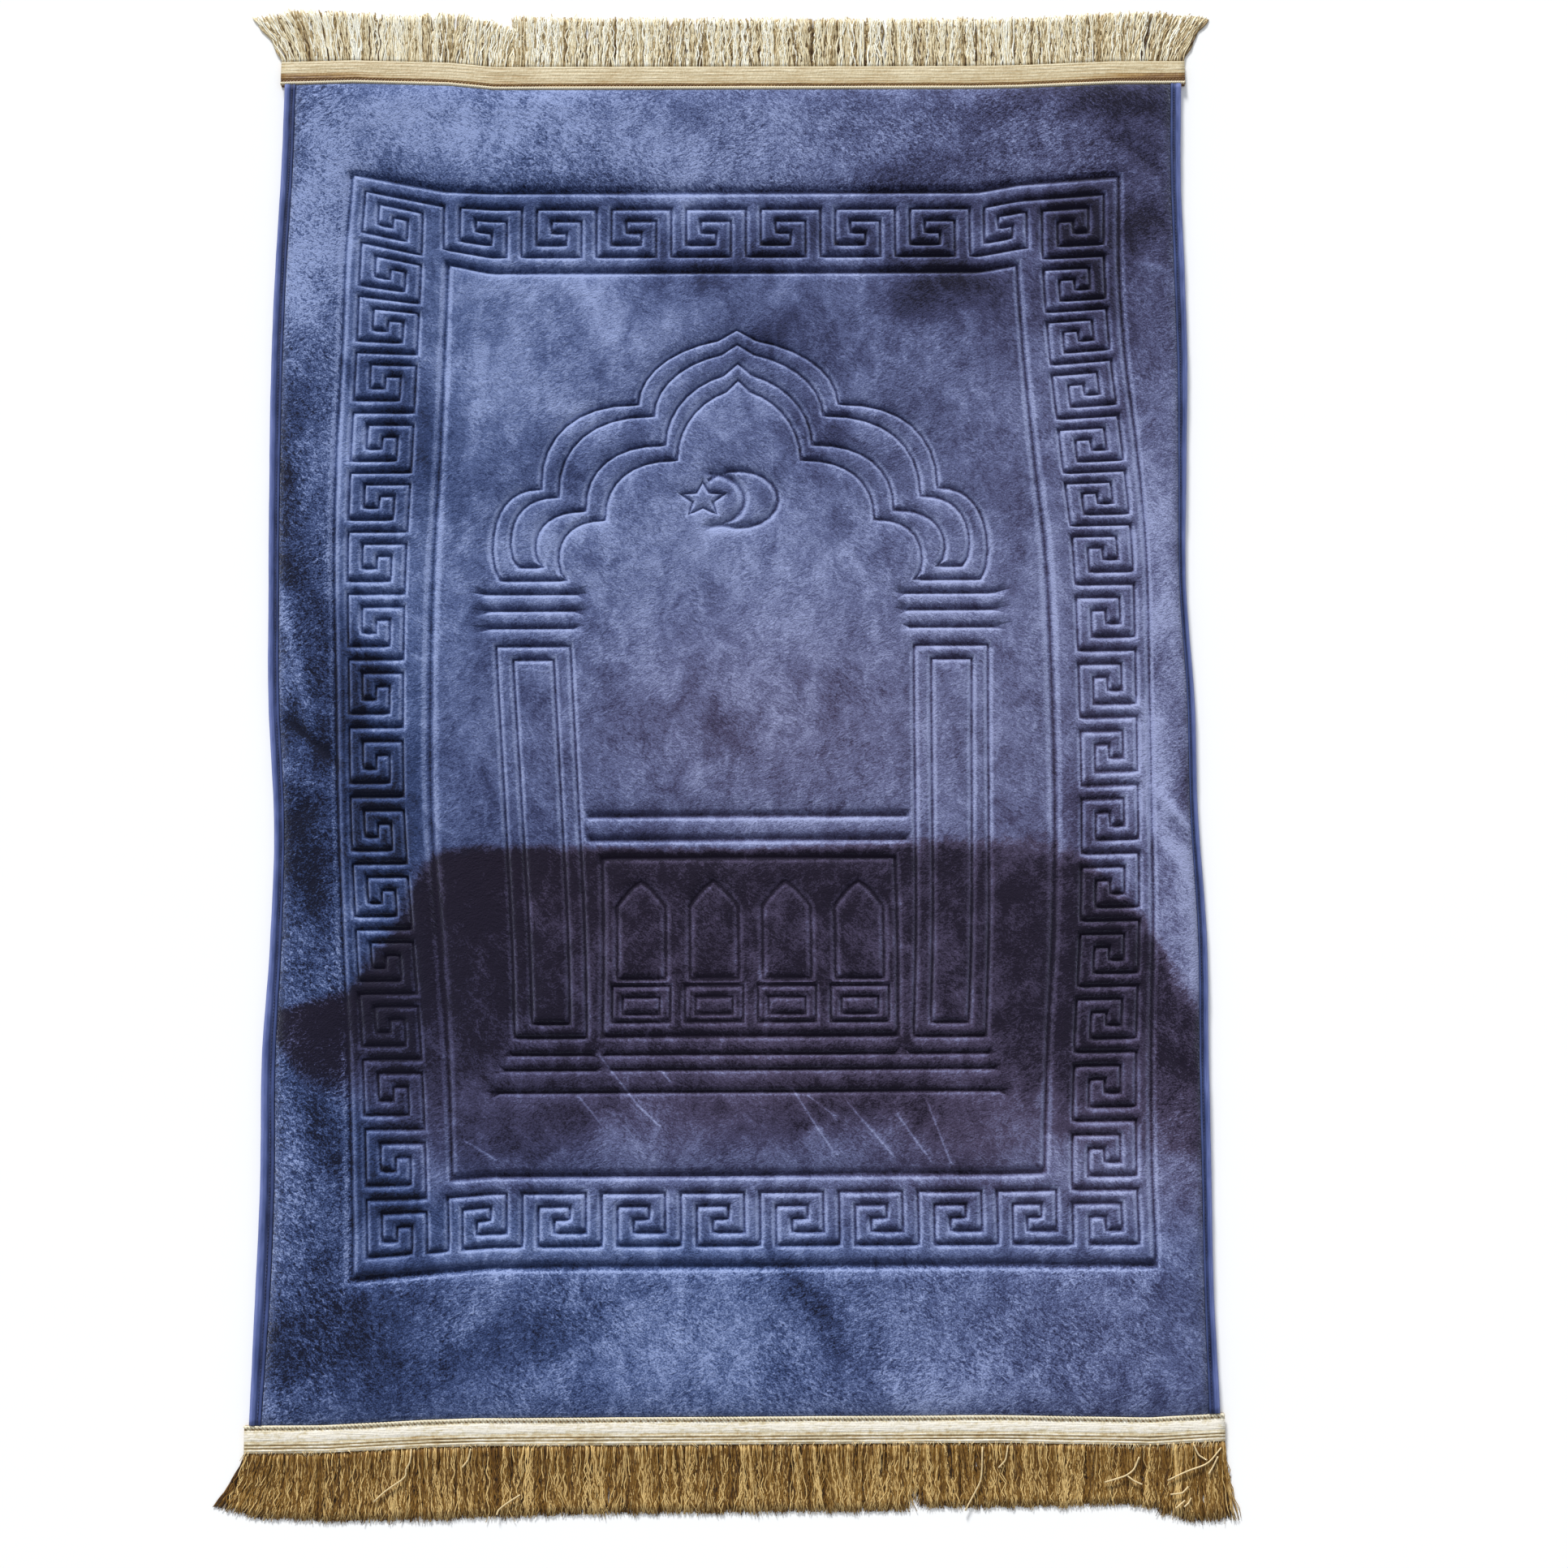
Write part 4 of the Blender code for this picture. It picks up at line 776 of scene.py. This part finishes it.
# Noises: waves a metre, detail, stretch across and along, distortion, turn in degrees.
NOISES = {
    "clouds": (13, 5, 1, 0.6, 1.2, 0), "mottling": (52, 4, 1, 0.7, 0.8, 0),
    "flecks to the right": (330, 3, 0.75, 1.3, 0.9, 38),
    "flecks to the left": (360, 3, 0.7, 1.3, 0.9, -24), "where flecks turn": (9, 2, 1, 1, 0, 0),
    "pile": (800, 2, 1, 1, 0, 0), "tufts": (90, 3, 1, 1, 0, 0), "fray": (150, 3, 1, 1, 0, 0),
    "weft": (900, 1, 1, 0.15, 0, 0), "warp": (900, 1, 0.15, 1, 0, 0),
    "satin yarns": (1400, 2, 1, 0.05, 0, 0), "wrinkles": (60, 3, 1.6, 0.5, 0, 0),
    "ribs": (900, 2, 0.06, 1, 0, 0), "twist": (700, 2, 1, 0.5, 0, 0),
    "wear": (22, 3, 1, 1, 0, 0), "rib mottling": (330, 3, 0.5, 1, 0, 0),
    "yarn shade": (260, 2, 1, 1, 0, 0), "yarn fibres": (2600, 1, 1, 1, 0, 0),
    "thread shade": (900, 2, 1, 1, 0, 0), "thread fibres": (2500, 1, 1, 0.3, 0, 0),
    "floor": (3, 2, 1, 1, 0, 0),
}


def linear(r, g, b):
    """A colour written in screen values, as the shader takes it."""
    return tuple((v / 255 / 12.92 if v < 11 else ((v / 255 + 0.055) / 1.055) ** 2.4)
                 for v in (r, g, b)) + (1.0,)


class Finish:
    """A material with its shader and short ways to add nodes before it."""

    def __init__(self, name, roughness, sheen=0.0, sheen_tint=(1, 1, 1), specular=0.5):
        self.material = bpy.data.materials.new(name)
        self.material.use_nodes = True
        self.tree = self.material.node_tree
        self.shader = self.tree.nodes["Principled BSDF"]
        for socket, value in (("Roughness", roughness), ("Specular IOR Level", specular),
                              ("Sheen Weight", sheen), ("Sheen Roughness", SHEEN_ROUGHNESS),
                              ("Sheen Tint", (*sheen_tint, 1.0))):
            self.shader.inputs[socket].default_value = value
        self.place = self.tree.nodes.new("ShaderNodeTexCoord").outputs["Object"]

    def node(self, kind, values, **settings):
        made = self.tree.nodes.new(kind)
        for key, value in settings.items():
            setattr(made, key, value)
        for socket, value in values.items():
            if isinstance(value, bpy.types.NodeSocket):
                self.tree.links.new(value, made.inputs[socket])
            else:
                made.inputs[socket].default_value = value
        return made

    def value(self, attribute):
        return self.node("ShaderNodeAttribute", {}, attribute_name=attribute).outputs["Fac"]

    def sum(self, a, b, factor=1.0):
        """a plus b times factor."""
        return self.node("ShaderNodeMath", {0: b, 1: factor, 2: a},
                         operation="MULTIPLY_ADD").outputs[0]

    def product(self, a, b):
        return self.node("ShaderNodeMath", {0: a, 1: b}, operation="MULTIPLY").outputs[0]

    def noise(self, kind):
        """Noise about zero, of one kind from the table."""
        scale, detail, across, along, distortion, turn = NOISES[kind]
        turned = self.node("ShaderNodeMapping", {"Vector": self.place,
                                                 "Rotation": (0, 0, radians(turn))}).outputs[0]
        place = self.node("ShaderNodeMapping", {"Vector": turned,
                                                "Scale": (across, along, 1)}).outputs[0]
        made = self.node("ShaderNodeTexNoise", {"Vector": place, "Scale": scale,
                                                "Detail": detail, "Distortion": distortion})
        return self.node("ShaderNodeMath", {0: made.outputs[0], 1: 0.5},
                         operation="SUBTRACT").outputs[0]

    def ramp(self, value, stops):
        made = self.node("ShaderNodeValToRGB", {0: value})
        ramp = made.color_ramp
        while len(ramp.elements) < len(stops):
            ramp.elements.new(0.5)
        for element, (place, colour) in zip(ramp.elements, stops):
            element.position, element.color = place, linear(*colour)
        return made.outputs[0]

    def step(self, value, low, high):
        """0 below low, 1 above high, smooth between."""
        return self.node("ShaderNodeMapRange", {0: value, 1: low, 2: high},
                         interpolation_type="SMOOTHSTEP").outputs[0]

    def mix(self, factor, a, b):
        """Colour a where the factor is 0, colour b where it is 1, in sockets 6 and 7."""
        return self.node("ShaderNodeMix", {0: factor, 6: a, 7: b}, data_type="RGBA").outputs[2]

    def colour(self, value):
        self.tree.links.new(value, self.shader.inputs["Base Color"])

    def bump(self, height, distance, strength):
        made = self.node("ShaderNodeBump", {"Height": height, "Strength": strength,
                                            "Distance": distance})
        self.tree.links.new(made.outputs[0], self.shader.inputs["Normal"])


def plush_finish():
    """Short dense pile: brushed patches, flecks of lifted tips, a painted shadow band, and painted
    highlights and shade round the grooves and folds.
    """
    f = Finish("blue_plush", roughness=0.85, sheen=0.4, sheen_tint=(0.70, 0.76, 1.0), specular=0.12)
    # Broad clouds and hand-sized mottling round the lie of the nap.
    nap = f.sum(f.value("nap"), f.noise("clouds"), 0.25)
    nap = f.sum(nap, f.noise("mottling"), 0.72)
    # Flecks a few millimetres long that lean right in some places and left in others.
    to_right, to_left = f.noise("flecks to the right"), f.noise("flecks to the left")
    fleck = f.mix(f.step(f.noise("where flecks turn"), -0.08, 0.08), to_right, to_left)
    grain = f.noise("pile")
    nap = f.sum(nap, f.sum(fleck, grain, 0.7), f.product(f.value("rough"), 0.75))
    # The painted shadow band's edge is frayed, and painted light and shade lie on the grooves'
    # walls and lips and on the folds.
    edge = f.step(f.sum(f.value("band"), f.noise("fray"), 0.7), 0.1, 0.9)
    band = f.product(edge, f.value("fade"))
    nap = f.sum(nap, band, -SHADOW_DEPTH)
    nap = f.sum(nap, f.value("painted_light"), 0.36)
    # The painted shadow also turns the plush violet.
    f.colour(f.mix(f.sum(f.value("violet"), band, 0.8), f.ramp(nap, PLUSH_BLUE),
                   f.ramp(nap, PLUSH_VIOLET)))
    height = f.sum(f.sum(fleck, grain, 0.5), f.noise("tufts"), 0.8)
    f.bump(height, distance=0.0022, strength=0.6)
    return f.material


def backing_finish():
    """Plain woven backing cloth, seen only from below."""
    f = Finish("blue_backing", roughness=0.9, sheen=0.1, specular=0.2)
    weave = f.sum(f.noise("weft"), f.noise("warp"))
    f.colour(f.ramp(f.sum(weave, 0.5), BACKING_BLUE))
    f.bump(weave, distance=0.0005, strength=0.5)
    return f.material


def tape_finish():
    """Satin tape: fine lengthwise yarns and soft cross wrinkles."""
    f = Finish("blue_tape", roughness=0.55, sheen=0.1, sheen_tint=(0.75, 0.82, 1.0), specular=0.22)
    yarn, wrinkle = f.noise("satin yarns"), f.noise("wrinkles")
    tone = f.sum(f.sum(f.value("tone"), wrinkle, 0.7), yarn, 0.35)
    f.colour(f.ramp(tone, TAPE_BLUE))
    f.bump(f.sum(yarn, wrinkle, 2.0), distance=0.0008, strength=0.5)
    return f.material


def heading_finish(name, stops, mottle):
    """Woven band: lengthwise ribs of shiny yarn, lighter and darker from rib to rib."""
    f = Finish(name, roughness=0.5, sheen=0.25, sheen_tint=(1.0, 0.95, 0.85), specular=0.4)
    ribs, twist = f.noise("ribs"), f.noise("twist")
    tone = f.sum(f.sum(f.sum(f.value("tone"), ribs, 0.55), twist, 0.35), f.noise("wear"), 0.35)
    f.colour(f.ramp(f.sum(tone, f.noise("rib mottling"), mottle), stops))
    f.bump(f.sum(ribs, twist, 0.8), distance=0.0007, strength=0.7)
    return f.material


def yarn_finish(name, stops):
    """Shiny fringe yarn, each strand in its own shade."""
    f = Finish(name, roughness=0.42, sheen=0.05, sheen_tint=(1.0, 0.95, 0.85), specular=0.35)
    f.colour(f.ramp(f.sum(f.value("tone"), f.noise("yarn shade"), 0.45), stops))
    f.bump(f.noise("yarn fibres"), distance=0.0003, strength=0.5)
    return f.material


def thread_finish(name, colour):
    """Sewing thread, with painted shade in random patches where it turns under."""
    f = Finish(name, roughness=0.5, sheen=0.2)
    f.colour(f.mix(f.sum(0.5, f.noise("thread shade"), 1.2),
                   linear(*[v * THREAD_DARK for v in colour]), linear(*colour)))
    f.bump(f.noise("thread fibres"), distance=0.0003, strength=0.5)
    return f.material


# ---- the pad ----
def on_pad(point):
    return all(abs(at) < half - CREASE_CLEAR for at, half in zip(point, BODY_HALF))


def surface_points(lines):
    """Plate points of the pad's upper side, with the lines between them that must be kept."""
    half_x, half_y = BODY_HALF
    paths = [(subdivided(box(0, 0, half_x, half_y), True, FIELD_STEP), True)]
    for points, closed, width, _ in lines:
        base = subdivided(points, closed, GROOVE_STEP)
        paths.append((base, closed))
        for share, beyond in GROOVE_LINES:
            out = share * width / 2 + beyond
            paths += [(offset_line(base, closed, side * out), closed) for side in (-1, 1)]
    folds = [(STROKE_WIDTH, STROKE_OFFSETS, line) for line in STROKES]
    folds += [(row[4], CREASE_OFFSETS, (row[0:2], row[2:4])) for row in CREASES]
    for width, offsets, line in folds:
        base = subdivided([unlaid(*point) for point in line], False, CREASE_STEP)
        for out in offsets:
            beside = offset_line(base, False, width * out)
            paths.append(([point for point in beside if on_pad(point)], False))
    points, edges = [], []
    for path, closed in paths:
        first = len(points)
        points += path
        edges += [(first + k, first + (k + 1) % len(path))
                  for k in range(len(path) if closed else len(path) - 1)]
    counts = [int(2 * half / FIELD_STEP) for half in BODY_HALF]
    field = np.array([(half_x * (2 * (i + 0.5 + 0.5 * (j % 2)) / counts[0] - 1),
                       half_y * (2 * (j + 0.5) / counts[1] - 1))
                      for i in range(counts[0]) for j in range(counts[1])])
    clear = groove_distances(field, lines)[2]
    inside = (np.abs(field[:, 0]) < half_x - FIELD_CLEAR) & (clear > FIELD_CLEAR)
    return points + [tuple(p) for p in field[inside]], edges


def unlaid(x, y):
    """The plate point that lies at x, y."""
    px, py = float(x), float(y)
    for _ in range(UNLAY_ROUNDS):
        at_x, at_y = lay(px, py)
        px, py = px + x - float(at_x), py + y - float(at_y)
    return px, py


def build_pad(lines):
    """The pad: its upper side in triangles that follow the grooves, and its rim and foot."""
    points, edges = surface_points(lines)
    found = delaunay_2d_cdt([Vector(p) for p in points], edges, [], 0, WELD)
    at = np.array([tuple(v) for v in found[0]])
    faces = [list(face) for face in found[2]]
    height, painted_light = pad_height(at, lines)
    x, y = lay(at[:, 0], at[:, 1])
    nap, band, fade = nap_and_painted_shadow(x, y)
    # The grooves' painted light and shade is fainter inside the painted shadow.
    painted_light = painted_light * (1 - SHADOW_CALM * band * fade)

    # Below its rim the pad steps in under the bindings and headings and closes underneath.
    half_x, half_y = BODY_HALF
    on_rim = np.flatnonzero(np.any(np.abs(np.abs(at) - BODY_HALF) < ON_RIM, axis=1)).tolist()
    order = sorted(on_rim, key=lambda k: float(np.arctan2(at[k][1] / half_y, at[k][0] / half_x)))
    rim = np.column_stack((at, height))[order]
    top_side, top_end, foot = RIM_SECTION
    rings = []
    for reach, side_z, end_z in ((0, top_side, top_end), (1, top_side, top_end),
                                 (1, foot, foot), (0, foot, foot), (0, 0, 0)):
        ring = rim.copy()
        on_side, on_end = (np.abs(rim[:, i]) > BODY_HALF[i] - ON_RIM for i in (0, 1))
        ring[on_side, 0] = np.sign(rim[on_side, 0]) * (half_x + RIM_REACH[0] * reach)
        ring[on_end, 1] = np.sign(rim[on_end, 1]) * (half_y + RIM_REACH[1] * reach)
        ring[:, 2] = np.where(np.abs(rim[:, 1]) > half_y - RIM_TAPER, end_z, side_z)
        rings.append(ring)
    count, first = len(order), len(at)
    above = order
    for _ in rings:
        below = list(range(first, first + count))
        faces += [[above[k], below[k], below[(k + 1) % count], above[(k + 1) % count]]
                  for k in range(count)]
        above, first = below, first + count
    faces.append(above[::-1])
    points = np.vstack([np.column_stack((at, height))] + rings)
    extra = np.zeros(len(points) - len(at))
    values = {"nap": nap, "painted_light": painted_light, "band": band, "fade": fade,
              "violet": violet_share(x, y), "rough": coarseness(at)}
    values = {key: np.concatenate((value, extra)) for key, value in values.items()}
    piece = add_piece("plush_pad", laid(points), faces, [plush_finish(), backing_finish()],
                      "plush", "mat", **values)
    piece.data.polygons[-1].material_index = 1
    return piece


# ---- bindings ----
def loft(section, marks, wave, place):
    """Closed bar: the section at each mark; wave adds to its height, place turns it to x, y."""
    rings = []
    for mark in marks:
        for k, (across, height) in enumerate(section):
            up = height + (wave(mark, k) if height > WAVES_ABOVE else 0.0)
            rings.append((*place(across, mark), max(up, 0.0)))
    return rings, tube_faces(1, len(marks), len(section))


def slow_waves(table, phase):
    """How high a bar's corner k stands at a mark, beyond its section."""
    def wave(mark, k):
        return sum(rise * sin(mark / length + by_phase * phase + by_corner * k)
                   for rise, length, by_phase, by_corner in table)
    return wave


def build_tape(name, node, side, finish, thread):
    """One side's folded tape with its row of stitches."""
    marks = np.linspace(-TAPE_END, TAPE_END, int(2 * TAPE_END / TAPE_STEP) + 1)
    points, faces = loft(TAPE_SECTION, marks, slow_waves(TAPE_WAVES, TAPE_PHASE * side),
                         lambda across, y: (side * across, y))
    if side < 0:
        faces = [face[::-1] for face in faces]
    tones = [[tone for start, tone in TAPE_TONES if across >= start][-1]
             for across, _ in TAPE_SECTION] * len(marks)
    piece = add_piece(name, laid(points), faces, [finish], "binding", node, tone=tones)
    across, height, pitch = TAPE_STITCH
    middles = [(side * across, y, height)
               for y in np.arange(-TAPE_END + STITCH_MARGIN, TAPE_END - STITCH_MARGIN, pitch)]
    row = stitches(name + "_stitches", middles, (0, 1, 0), pitch * STITCH_LENGTH, STITCH_RADIUS,
                   thread, "binding")
    return [piece, row]


# ---- headings and fringes ----
def build_heading(name, node, end, section, finish):
    """One end's woven band, which grips the rim."""
    rows = list(section) + list(HEADING_FOOT)
    marks = np.linspace(-HEADING_HALF, HEADING_HALF, int(2 * HEADING_HALF / HEADING_STEP) + 1)
    points, faces = loft([row[:2] for row in rows], marks, slow_waves(HEADING_WAVES, end),
                         lambda along, x: (x, end * along))
    if end > 0:
        faces = [face[::-1] for face in faces]
    start, reach, brown, up_to = END_SHADE
    browner = brown * smooth_step((np.abs(marks) - start) / reach) * (end > 0)
    tones = [tone - shade * (along < up_to) for shade in browner for along, _, tone in rows]
    return add_piece(name, laid(points), faces, [finish], END_SLOTS[end], node, tone=tones)


def build_strands(name, end, lie, tufts, count, rings, layer_from, seed, finish):
    """Loose yarns from the heading's outer edge, lying in tufts on the floor, above one another.

    A strand's layer is 0 on the floor and 1 on top; this piece holds those from layer_from up
    to half a layer more.
    """
    rng = np.random.default_rng(seed)
    width, snake, wave, unruly, radius, fall = tufts
    tuft_count = int(2 * HEADING_HALF / width) + 1

    def each(spread, shared):
        """A random number for each strand, some of it shared by the strands of a tuft."""
        own = rng.normal(size=count)
        return spread * (shared * rng.normal(size=tuft_count)[tuft] + (1 - shared) * own)

    root = rng.uniform(-HEADING_HALF + ROOT_MARGIN, HEADING_HALF - ROOT_MARGIN, count)
    tuft = np.floor((root + HEADING_HALF) / width).astype(int)
    middle = -HEADING_HALF + width * (tuft + 0.5)
    keys, leans, lengths = zip(*lie)
    lean = np.interp(root, keys, leans) + each(unruly, LEAN_COMMON)
    length = np.interp(root, keys, lengths) * (1 + each(*LENGTH_VARIES))
    height = rng.random(tuft_count)[tuft]
    layer = layer_from + 0.5 * np.clip(0.5 * height + 0.5 * rng.random(count), 0, 1)
    length = length * (1 - UNDER_SHORTER * np.maximum(1 - layer, 0))
    phase, size, pitch = each(*PHASE_VARIES), 1 + each(*SNAKE_VARIES), each(*WAVE_VARIES)
    s = np.linspace(0, 1, rings)[None]
    phase, size, pitch, layer, lean, length, root, middle, bow = (value[:, None] for value in (
        phase, size, wave * np.exp(pitch), layer, lean, length, root, middle, each(*BOW_VARIES)))
    turn, gathered = s * length / pitch * 2 * pi + phase, np.minimum(GATHER_SOON * s, 1)
    x = (root + GATHER * (middle - root) * gathered + lean * s ** LEAN_CURVE
         + snake * size * (np.sin(turn) - np.sin(phase)) * gathered + bow * np.sin(pi * s))
    y = end * (HEADING_EDGE - ROOT_DEPTH + (length + ROOT_DEPTH) * s)
    top = ROOT_HEIGHT[0] + ROOT_HEIGHT[1] * layer
    rest = REST_HEIGHT[0] + REST_HEIGHT[1] * layer ** REST_CURVE
    z = top + (rest - top) * smooth_step(s * REST_SOON) + SNAKE_LIFT * snake * np.sin(turn) ** 2
    taper = np.where(np.arange(rings) == rings - 1, TIP_TAPER, 1.0)
    thicker = 1 + UNDER_THICKER * np.maximum(1 - layer, 0) ** 2
    points = tubes(np.stack((x, y, z), -1), radius * taper * thicker, STRAND_SIDES)
    points[:, 2] = np.maximum(points[:, 2], LOWEST)
    # Lower strands get painted shade under the ones above, and the tips get painted light.
    tone = (LAYER_SHADE[0] + LAYER_SHADE[1] * layer[:, 0] + each(*TONE_VARIES)
            - fall * root[:, 0] / HEADING_HALF)
    tone = np.clip(tone, 0, 1)[:, None] + TIP_PAINTED_LIGHT * s ** 2
    return add_piece(name, laid(points), tube_faces(count, rings, STRAND_SIDES), [finish],
                     END_SLOTS[end], tone=np.repeat(tone.ravel(), STRAND_SIDES))


def build_strays(finish):
    """Light threads that lie loose over the near fringe."""
    paths = []
    for number, line in enumerate(STRAYS):
        line = np.array(line, float)
        t = np.linspace(0, len(line) - 1, STRAY_POINTS)
        smooth = np.column_stack([np.interp(t, range(len(line)), line[:, i]) for i in (0, 1)])
        for _ in range(STRAY_ROUNDS):
            smooth[1:-1] = (smooth[:-2] + 2 * smooth[1:-1] + smooth[2:]) / 4
        z = STRAY_HEIGHT + STRAY_WAVE * np.sin(t * STRAY_PACE + number)
        paths.append(np.column_stack((smooth, z)))
    points = tubes(np.array(paths), STRAY_RADIUS, STRAY_SIDES)
    points[:, 1] += ORIGIN_SHIFT
    faces = tube_faces(len(paths), STRAY_POINTS, STRAY_SIDES)
    return add_piece("loose_threads", points * MM, faces, [finish], "gold_fringe")


# ---- the whole rug ----
tape = tape_finish()
navy_thread = thread_finish("navy_thread", NAVY)
pale_weave = heading_finish("pale_woven_heading", PALE_WEAVE, 0.25)
gold_weave = heading_finish("gold_woven_heading", GOLD_WEAVE, 0.8)
pale_yarn = yarn_finish("pale_gold_yarn", PALE_YARN)
gold_yarn = yarn_finish("gold_yarn", GOLD_YARN)
cream_yarn = yarn_finish("cream_yarn", CREAM_YARN)
pale_thread = thread_finish("pale_thread", PALE)
brown_thread = thread_finish("brown_thread", BROWN)
cream_thread = thread_finish("cream_thread", CREAM)

pad = build_pad(pressed_lines())
going = []
for name, side in (("left", -1), ("right", 1)):
    going += build_tape("tape_" + name, "binding_" + name, side, tape, navy_thread)
going += [build_heading("heading_far", "fringe_far", 1, HEADING_FAR, pale_weave),
          build_heading("heading_near", "fringe_near", -1, HEADING_NEAR, gold_weave)]
for name, end, pitch, along, height, direction, length, radius in HEADING_SEWING:
    half = HEADING_HALF - SEWING_MARGIN
    middles = [(x, end * along, height) for x in np.arange(-half, half, pitch)]
    thread = pale_thread if name.endswith("cord") else brown_thread
    going.append(stitches(name, middles, direction, length, radius, thread, END_SLOTS[end]))
for name, end, lie, *rest in STRANDS:
    yarn = cream_yarn if lie is NEAR_HAIRS else pale_yarn if end > 0 else gold_yarn
    going.append(build_strands(name, end, lie, *rest, yarn))
going.append(build_strays(cream_thread))

# ---- floor, light and camera ----
floor = added("floor", bpy.data.meshes.new("floor"))
floor.data.from_pydata([(x, y, 0) for x, y in box(0, 0, FLOOR_HALF, FLOOR_HALF)], [],
                       [(0, 1, 2, 3)])
pale = Finish("pale_floor", roughness=0.9)
pale.colour(pale.mix(pale.sum(0.5, pale.noise("floor")),
                     *(linear(*white) for white in FLOOR_WHITES)))
floor.data.materials.append(pale.material)

sun = added("sun", bpy.data.lights.new("sun", "SUN"))
sun.data.energy, sun.data.angle = SUN_STRENGTH, radians(SUN_SOFTNESS)
sun.rotation_euler = [radians(turn) for turn in SUN_TURN]
world = bpy.data.worlds.new("studio")
world.use_nodes = True
sky = world.node_tree.nodes["Background"].inputs
sky["Color"].default_value, sky["Strength"].default_value = FILL_COLOUR, FILL_STRENGTH
bpy.context.scene.world = world
bpy.context.scene.view_settings.view_transform = "Standard"

camera = added("camera", bpy.data.cameras.new("camera"))
camera.location = CAMERA_AT
camera.rotation_euler = [radians(turn) for turn in CAMERA_TURN]
camera.data.lens, camera.data.sensor_width = CAMERA_LENS, CAMERA_SENSOR
bpy.context.scene.camera = camera

bpy.context.view_layer.update()
